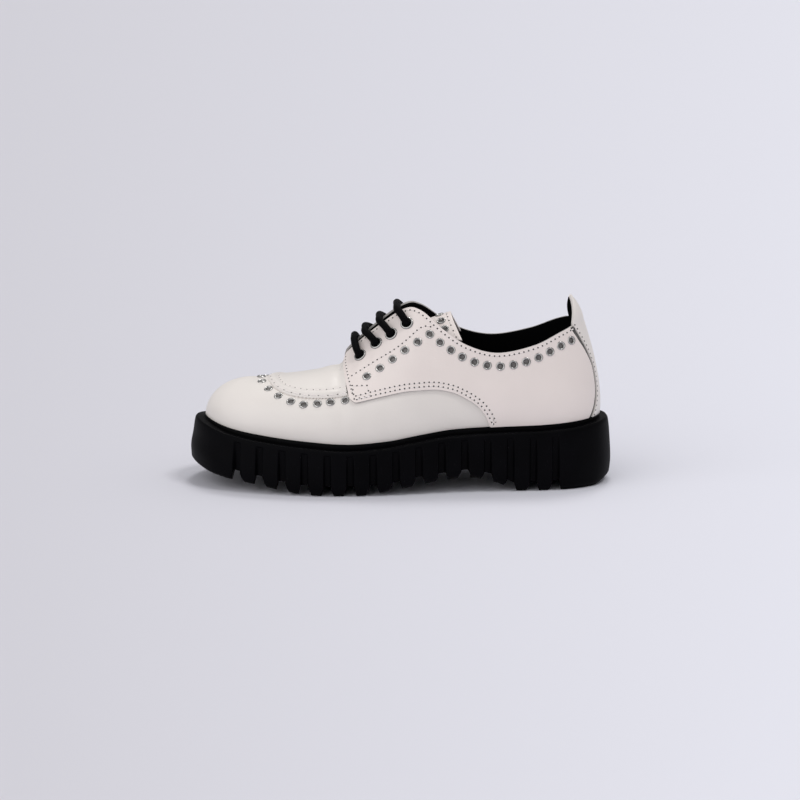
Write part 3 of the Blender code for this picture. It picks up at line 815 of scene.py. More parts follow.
@dataclass(frozen=True)
class Backdrop(Finish):
    """Pale paper of the studio, with painted light: greyer to the left of the shoe and lighter to its right.
    """

    dark: Colour = (0.665, 0.655, 0.705)
    light: Colour = (0.81, 0.81, 0.88)
    fan: float = 1.5
    spread: float = 0.36
    tooth_detail: float = 2.0

    def surface(self, nodes: Nodes) -> tuple[Socket, Socket, Socket]:
        """What the shader shows: a painted fall of light across the paper, darker to the left, and its faint
        tooth.

        Args:
            nodes: the material's tree.

        Returns:
            Sockets of the colour, of the tone that the gloss follows and of the height of the relief.
        """
        place = nodes.place("Object")
        x, y = nodes.split(place)
        depth = nodes.math("MAXIMUM", nodes.math("ADD", y, self.fan), self.fan / 2)
        across = nodes.math("MULTIPLY_ADD", nodes.math("DIVIDE", x, depth), 1 / self.spread, 0.5)
        tooth = nodes.noise(place, self.cells, self.tooth_detail)
        return nodes.ramp(across, ((0.0, self.dark), (1.0, self.light))), tooth, tooth


LEATHER = Finish(
    "quarter_leather", (0.85, 0.765, 0.725), 0.40, coat=0.12, cells=900, clouds=30, depth=0.035, mottle=0.02
)
VAMP_LEATHER = replace(LEATHER, name="vamp_leather", colour=(0.82, 0.77, 0.725), roughness=0.38, coat=0.15)
# Own grey of the raw cut edges, made darker so that it also paints the shade along the quarters' lapped
# edges.
CUT_EDGE_AND_SHADE = Finish(
    "leather_cut_edge_and_shade", (0.42, 0.40, 0.38), 0.7, cells=1800, clouds=200, depth=0.06, mottle=0.08
)
# Painted shadow: near-black bead that stands for the shade in the groove between the heel strip and the
# quarters.
SEAM_SHADOW = Finish("seam_painted_shadow", (0.10, 0.095, 0.09), 0.7, cells=2500, clouds=700, mottle=0.4)
LINING = Finish("soft_lining", (0.0015, 0.0015, 0.0018), 0.8, specular=0.04, cells=1500, mottle=0.2)
RUBBER = Finish(
    "moulded_rubber", (0.0014, 0.0013, 0.0019), 0.5, specular=0.042, cells=1400, clouds=60, mottle=0.3
)
WELT_RUBBER = Finish(
    "smooth_rubber", (0.0014, 0.0014, 0.0017), 0.5, specular=0.05, cells=1600, mottle=0.25
)
NICKEL = Finish(
    "plated_nickel", (0.5, 0.49, 0.475), 0.24, metallic=1.0, cells=3000, clouds=300, depth=0.004, mottle=0.12
)
# Darker copy of the nickel: painted shade inside the funnels and on the outer walls of the small eyelets.
FUNNEL = replace(NICKEL, name="shaded_nickel", colour=(0.44, 0.43, 0.415), roughness=0.3, mottle=0.2)
# Painted shadow: the backing seen in the small eyelets' holes and the dark outer walls of the lace rings.
SHADOW = Finish("eyelet_painted_shadow", (0.19, 0.18, 0.175), 0.6, cells=2500, clouds=500, depth=0.03, mottle=0.3)
THREAD = Finish("white_thread", (0.86, 0.80, 0.77), 0.6, cells=6000, clouds=900, depth=0.03, mottle=0.08)
# Needle holes are painted near black as the shade inside them.
NEEDLE_HOLE_SHADE = Finish(
    "needle_hole_shade", (0.045, 0.042, 0.042), 0.8, cells=5000, clouds=900, depth=0.02, mottle=0.3
)
CORD = Braid(
    "braided_cord", (0.0022, 0.0021, 0.0026), 0.65, specular=0.045, depth=0.12, mottle=0.5,
    mottle_ends=(0.1, 0.9), gloss_spread=-0.1,
)
PAPER = Backdrop("studio_paper", (0.75, 0.75, 0.8), 0.85, cells=800, depth=0.02, gloss_spread=0.05)


def dress(piece: Piece, *finishes: Finish) -> None:
    """Put finishes on a piece, one for each of its material numbers.

    Args:
        piece: mesh object.
        finishes: finish of each material number.
    """
    faces = piece.data.polygons
    numbers = [face.material_index for face in faces]
    piece.data.materials.clear()
    for finish in finishes:
        piece.data.materials.append(finish.material())
    faces.foreach_set("material_index", numbers)


def hand_over(piece: Piece, slot: Slot, *nodes: str) -> None:
    """Set a finished piece on the part's body and report it.

    Args:
        piece: finished piece.
        slot: record slot of its finish; not used.
        nodes: solids that it stands for.
    """
    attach(piece, "root")
    if nodes:
        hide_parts(*nodes)
    LOG.info("%s: %d faces", piece.name, len(piece.data.polygons))


@dataclass(frozen=True)
class Sole:
    """Moulded rubber unit: toe block, heel block, lugs between notches, and flutes up its sides."""

    wall: Rows = ((0.0, 5.6), (0.08, 8.4), (0.30, 9.2), (0.66, 8.4), (0.965, 7.0), (1.0, 6.0))
    toe_wall: Rows = ((0.0, 7.4), (0.08, 9.9), (0.30, 10.2), (0.66, 8.4), (0.965, 6.8), (1.0, 6.0))
    flare_x: tuple[float, float] = (-126.0, -96.0)
    pitch: float = 15.2
    first_notch: float = -108.8
    notches: int = 15
    notch_root: float = 4.6
    notch_mouth: float = 8.6
    flute_width: float = 4.4
    flute_floor: float = 6.6
    flute_below_rim: float = 2.4
    soft: float = 0.5
    ledge: tuple[float, ...] = (5.4, 4.4, 1.0, -4.0)
    ledge_lip: float = 0.12
    levels: int = 24
    level_ease: float = 0.07
    across: int = 9
    search_steps: int = 1800
    sections_away: Sequence[float] = (0.0, 0.8, 1.4, 1.7, 2.05, 2.3, 2.5, 2.75, 3.3, 4.1, 4.3, 4.5, 4.9, 5.6)
    end_sections: int = 40
    end_crowding: float = 1.15

    def notch_x(self) -> Array:
        """Middle of each notch along the shoe."""
        return self.first_notch + self.pitch * np.arange(self.notches)

    def stations(self) -> Array:
        """Where the sections stand along the shoe, close together at the edges of notches and flutes.

        Returns:
            Middle X of each section.
        """
        marks = [self.notch_x() + sign * away for away in self.sections_away for sign in (-1, 1)]
        marks.append(self.notch_x()[:-1] + self.pitch / 2)
        return np.unique(np.round(np.concatenate(marks), 4))

    def places(self) -> tuple[Array, Array, Array]:
        """Where the sections meet the two sides.

        Returns:
            Station of each section, and its place on the lateral and on the medial side.
        """
        fine = np.linspace(0.0, HEEL_RIB, self.search_steps)
        widest = max(out for _, out in self.wall)
        crowd = np.linspace(0.0, 1.0, self.end_sections, endpoint=False) ** self.end_crowding
        stations = self.stations()
        found = []
        for side in Side:
            plan, out = LAST.feather(LAST.place(fine, side))
            xs = (plan + out * widest)[:, 0]
            middle = np.interp(stations, xs, fine)
            heel = HEEL_RIB - (HEEL_RIB - middle[-1]) * crowd[::-1]
            ribs = np.concatenate([middle[0] * crowd, middle, heel])
            found.append((np.interp(ribs, fine, xs), LAST.place(ribs, side)))
        (station, lateral), (_, medial) = found
        return station, lateral, medial

    def ground(self, station: Array) -> Array:
        """Height of the underside, with the notches in it.

        Args:
            station: X of each section.

        Returns:
            Height at each section.
        """
        away = np.abs(station[:, None] - self.notch_x()[None, :]).min(1)
        half_root, half_mouth = self.notch_root / 2, self.notch_mouth / 2
        ramp = np.clip((half_mouth - away) / (half_mouth - half_root), 0.0, 1.0)
        return LAST.tread_z(station) + smooth_profile(NOTCH_PROFILE, station) * ramp

    def side_wall(self, place: Array, station: Array) -> Array:
        """One side of every section, from the underside up to the rim and in over the ledge.

        Args:
            place: places of the sections on that side.
            station: stations of the sections.

        Returns:
            Points by section and level.
        """
        plan, outward = LAST.feather(place)
        low, rim, tread = self.ground(station), LAST.rim_z(station), LAST.tread_z(station)
        turn = np.linspace(0.0, 1.0, self.levels)
        climb = turn - self.level_ease * np.sin(2 * math.pi * turn)
        z = low[:, None] + (rim - low)[:, None] * climb
        share = (z - tread[:, None]) / (rim - tread)[:, None]
        blend = np.interp(station, self.flare_x, (0.0, 1.0))[:, None]
        out = smooth_profile(self.wall, share) * blend + smooth_profile(self.toe_wall, share) * (1 - blend)
        away = np.abs(station[:, None] - self.notch_x()[None, :]).min(1)[:, None]
        flute = soft_step((self.flute_width / 2 + self.soft - away) / (2 * self.soft))
        flute = flute * soft_step((rim[:, None] - self.flute_below_rim - z) / (2 * self.soft))
        out = out + flute * np.minimum(self.flute_floor - out, 0.0)
        out = np.concatenate([out, np.tile(self.ledge, (len(place), 1))], 1)
        z = np.concatenate([z, np.tile(rim[:, None], (1, len(self.ledge)))], 1)
        z[:, self.levels] += self.ledge_lip
        ground_plan = plan[:, None, :] + outward[:, None, :] * out[..., None]
        return np.concatenate([ground_plan, z[..., None]], -1)

    def build(self) -> None:
        """Loft the sections from toe to heel."""
        station, lateral, medial = self.places()
        near, far = self.side_wall(lateral, station), self.side_wall(medial, station)
        share = np.linspace(0.0, 1.0, self.across + 1)[1:-1, None]
        under = far[:, None, 0] + (near[:, None, 0] - far[:, None, 0]) * share[None]
        over = near[:, None, -1] + (far[:, None, -1] - near[:, None, -1]) * share[None]
        ring = np.concatenate([near, over, far[:, ::-1], under, near[:, :1]], 1)
        piece = sheet("lugged_sole", ring)
        weld(piece, recalculate=True)
        smooth(piece, angle=32.0)
        dress(piece, RUBBER)
        hand_over(piece, Slot.SOLE, "outsole")


@dataclass(frozen=True)
class Band:
    """Loop of even section that follows the feather line, such as the welt or the footbed."""

    name: str
    section: Rows
    finish: Finish
    slot: Slot
    node: str
    filled: bool = False
    per_rib: int = 9

    def build(self) -> None:
        """Sweep the section round the loop."""
        places = np.arange(LOOP * self.per_rib + 1) / self.per_rib
        plan, outward = LAST.feather(places)
        section = self.section if self.filled else (*self.section, self.section[0])
        rows = []
        for out, height in section:
            flat = plan + outward * out
            rows.append(np.column_stack([flat, LAST.rim_z(flat[:, 0]) + height]))
        piece = sheet(self.name, np.stack(rows))
        weld(piece)
        cap(piece)
        smooth(piece)
        dress(piece, self.finish)
        hand_over(piece, self.slot, self.node)


QUARTER_EDGE = (
    (6.5, 0.376), (8.2, 0.362), (9.4, 0.343), (10.4, 0.350), (10.87, 0.346), (11.27, 0.324),
    (11.67, 0.284), (11.98, 0.220), (12.2, 0.125), (12.42, 0.0), (17.0, 0.0),
)
QUARTER_FRONT = (
    (0.0, 6.95), (0.375, 6.92), (0.45, 6.76), (0.55, 6.68), (0.65, 6.62), (0.78, 6.60), (0.92, 6.65),
    (1.0, 6.90),
)
APRON_EDGE = (
    (3.16, 1.0), (3.26, 0.925), (3.44, 0.815), (3.66, 0.69), (3.9, 0.608), (4.2, 0.545), (4.6, 0.50),
    (5.2, 0.48), (6.0, 0.478),
)
BACKSTAY = ((0.0, 1.8), (0.15, 1.45), (0.35, 1.15), (0.5, 1.1), (0.66, 1.4), (0.8, 1.75), (1.0, 2.2))


def backstay_half(up: Array) -> Array:
    """Half width of the heel strip, in ribs."""
    return smooth_profile(BACKSTAY, up)


@dataclass(frozen=True)
class Eyelet:
    """Lace eyelet: its rib, how far up it sits, and the rib where its bar crosses the facing edge."""

    rib: float
    up: float
    bar_rib: float


LACE_EYELETS = (
    Eyelet(7.425, 0.820, 7.38),
    Eyelet(7.950, 0.835, 7.73),
    Eyelet(8.450, 0.835, 8.22),
    Eyelet(9.050, 0.860, 8.82),
)

FACING_RUN = ((7.55, 0.58), (7.95, 0.598), (8.375, 0.623), (8.8, 0.65), (9.438, 0.69), (10.288, 0.812))
COLLAR_RUN = ((10.288, 0.812), (11.5, 0.81), (12.6, 0.80), (13.6, 0.805), (14.5, 0.832), (15.525, 0.845))
TOE_MARKS = (
    (2.86, 1.0), (3.138, 0.85), (3.475, 0.69), (3.788, 0.565), (4.125, 0.475), (4.45, 0.427), (4.85, 0.43),
    (5.338, 0.438), (6.338, 0.435),
)


def marks_on(run: Rows, side: Side, steps: int = 24) -> Array:
    """Dense line of (place, up) marks along a run of (rib, up) points on one side."""
    line = through(np.array(run), steps)
    return np.column_stack([LAST.place(line[:, 0], side), np.minimum(line[:, 1], 1.0)])


def surface_frames(line: Array, lift: Values, spans: int) -> Array:
    """Frames at an even pitch along marks on the upper.

    Args:
        line: dense (place, up) marks.
        lift: height above the upper's face.
        spans: number of even steps along the line.

    Returns:
        One matrix for each frame.
    """
    points = LAST.offset(line[:, 0], line[:, 1], lift)
    normals = LAST.normal(line[:, 0], line[:, 1])
    along = np.gradient(points, axis=0)
    at = evenly(points, spans)
    return frames_on(read_at(points, at), read_at(normals, at), read_at(along, at))


def spans_of(line: Array, pitch: float) -> int:
    """Number of steps of about one pitch along marks on the upper."""
    return max(1, round(reach_of(LAST.point(line[:, 0], line[:, 1]))[-1] / pitch))


@dataclass(frozen=True)
class Trough:
    """Soft crease across the vamp: where it crosses the crown, its shape, and how far down it runs."""

    x: float
    width: float
    depth: float
    slant: float
    spread: float = 40.0


CREASES = (
    Trough(-37.6, 3.0, 1.7, 0.0, spread=14.0),
    Trough(-46.5, 4.5, -0.5, 0.08),
    Trough(-57.0, 6.0, 0.35, 0.16),
    Trough(-68.0, 9.0, 0.22, 0.2),
)
CREASE_FADE = 0.55


def crease_depth(points: Array) -> Array:
    """Depth of the walking creases, which fade out down the sides.

    Args:
        points: points on the upper in millimetres.

    Returns:
        Depth in millimetres.
    """
    across = np.abs(points[..., 1])
    depth = np.zeros(points.shape[:-1])
    for crease in CREASES:
        fade = soft_step((1 - across / crease.spread) / CREASE_FADE)
        depth += crease.depth * fade * bell(points[..., 0], crease.x + crease.slant * across, crease.width)
    return depth


@dataclass(frozen=True)
class Studs:
    """Small decorative eyelets: a rolled rim, a funnel in shaded nickel and a backing disc painted dark as
    the shadow in the hole.
    """

    section: Rows = (
        (1.35, -1.2), (1.55, -0.5), (1.85, 0.1), (2.15, 0.46), (2.5, 0.58), (2.8, 0.46), (3.1, 0.0),
        (2.2, -0.1), (1.9, -1.2),
    )
    sides: int = 20
    hole: float = 2.1
    rim: tuple[float, float] = (2.05, 2.85)
    backing_share: float = 1.1
    backing_depth: float = 0.9
    backing_rim: float = 0.3
    backing_dish: float = 0.1
    drill_above: float = 3.0

    def model(self) -> Piece:
        """One eyelet with its backing.

        Returns:
            The eyelet at the origin: bright rim, funnel and outer wall in painted shade, backing painted
                dark as the shadow in the hole.
        """
        ring = turned("stud", self.section, self.sides)
        radius, depth = self.section[0]
        deselect()
        bpy.ops.mesh.primitive_circle_add(
            vertices=self.sides,
            radius=radius * self.backing_share * MM,
            fill_type="NGON",
            location=(0, 0, depth * self.backing_depth * MM),
        )
        backing = bpy.context.object
        with editing(backing):
            bpy.ops.mesh.inset(thickness=self.backing_rim * MM, depth=-self.backing_dish * MM)
        bpy.ops.object.transform_apply(location=True, rotation=False, scale=False)
        for part in (ring, backing):
            dress(part, NICKEL, FUNNEL, SHADOW)
        backing.data.polygons.foreach_set("material_index", [2] * len(backing.data.polygons))
        # Faces off the rim band take the darker nickel: painted shade in the funnel and on the outer wall.
        inner, outer = self.rim
        for face in ring.data.polygons:
            face.material_index = 0 if inner * MM < face.center.xy.length < outer * MM else 1
        ring.select_set(True)
        bpy.context.view_layer.objects.active = ring
        bpy.ops.object.join()
        return ring

    def build(self, name: str, frames: Array) -> None:
        """Eyelets on a row of frames.

        Args:
            name: name of the piece.
            frames: one matrix for each eyelet.
        """
        piece = copies(name, self.model(), frames)
        dress(piece, NICKEL, FUNNEL, SHADOW)
        smooth(piece, angle=50.0)
        hand_over(piece, Slot.NICKEL)

    def tool(self, frames: Array, radius: float, depth: float) -> Piece:
        """Drill for the holes under a row of frames.

        Args:
            frames: one matrix for each hole.
            radius: radius of the holes in millimetres.
            depth: how far below the frame they go.

        Returns:
            The joined drills.
        """
        length, middle = depth + self.drill_above, (self.drill_above - depth) / 2
        deselect()
        bpy.ops.mesh.primitive_cylinder_add(
            vertices=self.sides, radius=radius * MM, depth=length * MM, location=(0, 0, middle * MM)
        )
        bpy.ops.object.transform_apply(location=True, rotation=False, scale=False)
        return copies("drill", bpy.context.object, frames)


STUDS = Studs()


def lace_frames(side: Side) -> Array:
    """Frames of the four lace eyelets of one side.

    Args:
        side: side of the shoe.

    Returns:
        One matrix for each eyelet.
    """
    ribs = LAST.place(np.array([row.rib for row in LACE_EYELETS]), side)
    ups = np.array([row.up for row in LACE_EYELETS])
    along, _ = LAST.slopes(ribs, ups)
    return frames_on(LAST.offset(ribs, ups, LAST.overlay), LAST.normal(ribs, ups), along)


@dataclass(frozen=True)
class LaceEyelets:
    """Nickel rings that the lace runs through, their outer walls painted dark as the shadow where they meet
    the leather.
    """

    section: Rows = (
        (2.85, -3.6), (2.8, -0.6), (2.95, 0.3), (3.3, 0.75), (3.9, 0.82), (4.3, 0.55), (4.5, 0.0),
        (3.3, -0.1), (3.25, -3.6),
    )
    sides: int = 40
    hole: float = 3.4
    rim: float = 4.25

    def build(self) -> None:
        """Turn one ring and set a copy of it at each hole."""
        for side in Side:
            for number, frame_here in enumerate(lace_frames(side), 1):
                model = turned("ring", self.section, self.sides)
                dress(model, NICKEL, SHADOW)
                # Faces outside the rim get the painted shadow where the ring meets the leather.
                for face in model.data.polygons:
                    face.material_index = int(face.center.xy.length > self.rim * MM)
                piece = copies(f"lace_ring_{side.word}_{number}", model, frame_here[None])
                dress(piece, NICKEL, SHADOW)
                smooth(piece, angle=60.0)
                hand_over(piece, Slot.NICKEL, f"eyelet_{side.word}_{number}")


RINGS = LaceEyelets()


@dataclass(frozen=True)
class Upper:
    """Vamp and lining in one hollow wall, with the row of small eyelets round the toe."""

    per_rib: int = 9
    rows: int = 34

    def toe_frames(self) -> Array:
        """Frames of the eyelets round the toe, from the lateral side over the crown to the medial side.

        Returns:
            One matrix for each eyelet.
        """
        near = np.array(TOE_MARKS)
        marks = np.concatenate([near[::-1], near[1:] * (-1.0, 1.0)])
        points = LAST.point(marks[:, 0], marks[:, 1])
        return frames_on(points, LAST.normal(marks[:, 0], marks[:, 1]), np.gradient(points, axis=0))

    def build(self) -> None:
        """Loop of ribs welded along the crown, then given its wall."""
        places = np.arange(LOOP * self.per_rib + 1) / self.per_rib
        places, ups = np.meshgrid(places, np.linspace(0.0, 1.0, self.rows))
        creases = crease_depth(LAST.point(places, ups))
        piece = sheet("upper_wall", LAST.offset(places, ups, -creases))
        weld(piece)
        dress(piece, VAMP_LEATHER, LINING, LINING)
        thicken(piece, LAST.wall)
        round_edges(piece, width=0.35, angle=60.0)
        drill(piece, STUDS.tool(self.toe_frames(), STUDS.hole, depth=1.5))
        for side in Side:
            drill(piece, STUDS.tool(lace_frames(side), RINGS.hole, depth=6.0))
        smooth(piece)
        hand_over(piece, Slot.LEATHER, "upper")


@dataclass(frozen=True)
class Swell:
    """Ridge, or trench where its height is below zero, at a distance from the edge of the apron."""

    away: float
    width: float
    height: float


@dataclass(frozen=True)
class Apron:
    """Plug of the vamp: a stitched edge, a raised margin inside it and a second seam."""

    edge_runs: Sequence[Run] = ((3.16, 3.5, 26), (3.52, 4.2, 34), (4.23, 6.0, 36))
    tail_from: float = 4.9
    spine_front: float = 3.7
    back_gap: float = 0.1
    lines: int = 56
    crowding: float = 1.7
    thickness: float = 0.9
    sink: float = 0.04
    edge_round: float = 2.0
    trench: Swell = Swell(1.9, 0.8, -0.32)
    margin: Swell = Swell(4.0, 1.7, 0.55)
    seam: Swell = Swell(7.0, 0.9, -0.30)
    crown_rise: float = 0.2
    crown_reach: float = 12.0

    def edge(self) -> Array:
        """Dense (rib, up) line of one side of the edge, from the crown at the front to the quarter.

        Returns:
            Marks in order.
        """
        ribs = np.concatenate([np.linspace(*run) for run in self.edge_runs])
        ups = smooth_profile(APRON_EDGE, ribs)
        tail = np.interp(ribs, (self.tail_from, THROAT_RIB), (0.0, 1.0))
        back = smooth_profile(QUARTER_FRONT, ups) - self.back_gap - THROAT_RIB
        return np.column_stack([ribs + tail**2 * back, ups])

    def height(self, away: Array) -> Array:
        """Height of the plug over the vamp, by distance from its edge.

        Args:
            away: distance from the edge.

        Returns:
            Height in millimetres.
        """
        low = np.clip(away / self.edge_round, 0.0, 1.0)
        height = LAST.overlay * np.sin(low * math.pi / 2)
        for swell in (self.trench, self.margin, self.seam):
            height = height + swell.height * bell(away, swell.away, swell.width)
        return height + self.crown_rise * soft_step((away - self.seam.away) / self.crown_reach)

    def lift(self, points: Array) -> Array:
        """Height of the plug's face over points on the vamp.

        Args:
            points: points on the outside of the upper.

        Returns:
            Height at each point.
        """
        edge = self.edge()
        both = np.concatenate([edge[::-1] * (-1.0, 1.0), edge[1:]])
        border = LAST.point(both[:, 0], both[:, 1])[::2]
        away = np.linalg.norm(points[..., None, :] - border, axis=-1).min(-1)
        return self.height(away) - crease_depth(points) - self.sink

    def build(self) -> None:
        """Lines from the edge in to the spine of the vamp, welded along the spine."""
        edge = self.edge()
        spine = np.interp(edge[:, 0], edge[[0, -1], 0], (self.spine_front, edge[-1, 0]))
        share = np.linspace(0.0, 1.0, self.lines) ** self.crowding
        ribs = edge[:, 0] + (spine - edge[:, 0]) * share[:, None]
        ups = edge[:, 1] + (1.0 - edge[:, 1]) * share[:, None]
        places = np.concatenate([-ribs[:, ::-1], ribs[:, 1:]], 1)
        ups = np.concatenate([ups[:, ::-1], ups[:, 1:]], 1)
        lift = self.lift(LAST.point(places, ups))
        piece = sheet("apron_plug", LAST.offset(places, ups, lift))
        weld(piece)
        dress(piece, VAMP_LEATHER, LINING, VAMP_LEATHER)
        thicken(piece, self.thickness)
        smooth(piece, angle=60.0)
        hand_over(piece, Slot.LEATHER, "apron")


@dataclass(frozen=True)
class Quarter:
    """Side of the shoe with its facing, lapped over the vamp, with holes for every eyelet."""

    side: Side
    corner_ribs: float = 0.2
    corner_share: float = 0.11
    facing_spans: int = 5
    collar_spans: int = 12
    rib_runs: Sequence[Run] = ((6.6, 10.7, 74), (10.75, 12.75, 62), (12.8, 16.0, 54))
    rows: int = 46
    crowding: float = 0.6
    lead_fade: int = 8
    trail_fade: int = 4
    lap_gap: float = 0.05

    def grid(self) -> tuple[Array, Array]:
        """Ribs and heights of the leather, closest where the lower edge turns down to the sole.

        Returns:
            Rib numbers and shares of the way up, by row and column.
        """
        front, bend, back = (np.linspace(*run) for run in self.rib_runs)
        along = np.concatenate([front, bend[1:], back])
        turn = np.linspace(0.0, 1.0, self.rows)
        share = turn - self.crowding * np.sin(2 * math.pi * turn) / (2 * math.pi)
        low = smooth_profile(QUARTER_EDGE, along)
        ups = low + (1 - low) * share[:, None]
        across = (along - along[0]) / (along[-1] - along[0])
        near = np.clip(1 - share / self.corner_share, 0.0, 1.0)[:, None]
        corner = self.corner_ribs * (1 - np.sqrt(1 - near**2))
        lead = smooth_profile(QUARTER_FRONT, ups) + corner - along[0]
        trail = HEEL_RIB - backstay_half(ups) - HEEL_GAP - along[-1]
        return along + lead * (1 - across) ** self.lead_fade + trail * across**self.trail_fade, ups

    def stud_frames(self) -> Array:
        """Frames of the small eyelets: up the facing line to its apex, then back along the collar.

        Returns:
            One frame for each eyelet, in order.
        """
        facing = surface_frames(marks_on(FACING_RUN, self.side), LAST.overlay, self.facing_spans)
        collar = surface_frames(marks_on(COLLAR_RUN, self.side), LAST.overlay, self.collar_spans)
        return np.concatenate([facing, collar[1:]])

    def build(self) -> None:
        """Leather laid over the upper, thickened, rounded and punched."""
        ribs, ups = self.grid()
        points = LAST.offset(LAST.place(ribs, self.side), ups, LAST.overlay)
        if self.side is Side.MEDIAL:
            points = points[:, ::-1]
        piece = sheet(f"quarter_leather_{self.side.word}", points)
        dress(piece, LEATHER, LINING, CUT_EDGE_AND_SHADE)
        thicken(piece, LAST.overlay - self.lap_gap)
        round_edges(piece, width=0.4)
        drill(piece, STUDS.tool(self.stud_frames(), STUDS.hole, depth=4.0))
        drill(piece, STUDS.tool(lace_frames(self.side), RINGS.hole, depth=4.0))
        smooth(piece)
        hand_over(piece, Slot.LEATHER, f"quarter_{self.side.word}")


@dataclass(frozen=True)
class Backstay:
    """Heel strip that runs up into the pull tab, lined in black above the collar."""

    tab_rise: float = 18.5
    tab_lean: float = 27.5
    tab_thick: float = 2.3
    tab_twist: float = 0.22
    tab_taper: float = 1.8
    tab_tip: float = 0.1
    tab_curl: float = 0.7
    seam_floor: float = 0.25
    seam_rise: float = 0.65
    seam_top: float = 0.985

    def grid(self, columns: int = 41, rows: int = 40, tab_rows: int = 26) -> Array:
        """Outer face, from the feather line to the end of the tab.

        Args:
            columns: points across the strip.
            rows: points up to the collar.
            tab_rows: points up the tab.

        Returns:
            Rows of points.
        """
        across = np.linspace(-1.0, 1.0, columns)
        ups = np.repeat(np.linspace(0.0, 1.0, rows)[:, None], columns, 1)
        strip = LAST.offset(HEEL_RIB + backstay_half(ups) * across, ups, LAST.overlay)
        top = strip[-1]
        middle = top[columns // 2]
        lean = math.radians(self.tab_lean)
        rise = self.tab_rise * np.array([-math.sin(lean), 0.0, math.cos(lean)])
        tab = []
        for share in np.sin(np.linspace(0.0, 0.5 * math.pi, tab_rows + 1))[1:]:
            level = middle + (top - middle) * (1 - (1 - self.tab_tip) * share**self.tab_taper)
            level[:, 2] = top[:, 2] * (1 - share) + middle[2] * share
            level[:, 0] -= self.tab_twist * share * (level[:, 1] - middle[1])
            level[:, 0] += rise[0] * share * (1 - self.tab_curl * (1 - share))
            level[:, 2] += rise[2] * share
            tab.append(level)
        return np.concatenate([strip, np.stack(tab)])

    def build(self) -> None:
        """Strip and tab in one piece, lined inside."""
        piece = sheet("heel_strip", self.grid())
        dress(piece, VAMP_LEATHER, LINING, VAMP_LEATHER)
        thicken(piece, self.tab_thick)
        round_edges(piece, width=0.5)
        smooth(piece)
        for side in Side:
            self.seam(side)
        hand_over(piece, Slot.LEATHER, "backstay")

    def seam(self, side: Side, rows: int = 80, columns: int = 9) -> None:
        """Bead painted near black, sunk in the seam between the strip and one quarter: a painted shadow in
        the groove.

        Args:
            side: side of the shoe.
            rows: points up the bead.
            columns: points over it.
        """
        ups = np.linspace(0.0, self.seam_top, rows)[:, None]
        turn = np.linspace(-1.0, 1.0, columns)
        ribs = HEEL_RIB - backstay_half(ups) + 0.5 * HEEL_GAP * (turn - 1)
        lift = self.seam_floor + self.seam_rise * np.sqrt(1 - turn**2)
        points = LAST.offset(LAST.place(ribs, side), ups, lift)
        if side is Side.MEDIAL:
            points = points[:, ::-1]
        piece = sheet(f"heel_seam_{side.word}", points)
        dress(piece, SEAM_SHADOW, SEAM_SHADOW, SEAM_SHADOW)
        thicken(piece, self.seam_floor)
        smooth(piece, angle=80.0)
        hand_over(piece, Slot.LEATHER)


TONGUE_COLUMNS = {
    "crown": ((-47.0, 69.8), (-36.0, 75.0), (-14.0, 88.2), (8.0, 102.9), (21.0, 108.8), (34.0, 113.2)),
    "half": ((-47.0, 13.0), (-36.0, 15.0), (-14.0, 18.0), (8.0, 20.0), (21.0, 20.4), (34.0, 21.6)),
    "drop": ((-47.0, 2.8), (-36.0, 3.4), (-14.0, 6.2), (8.0, 9.4), (21.0, 12.4), (34.0, 16.0)),
    "swing": ((-47.0, 0.0), (-36.0, 0.5), (-14.0, 2.0), (8.0, 4.0), (21.0, 6.0), (34.0, 7.5)),
}


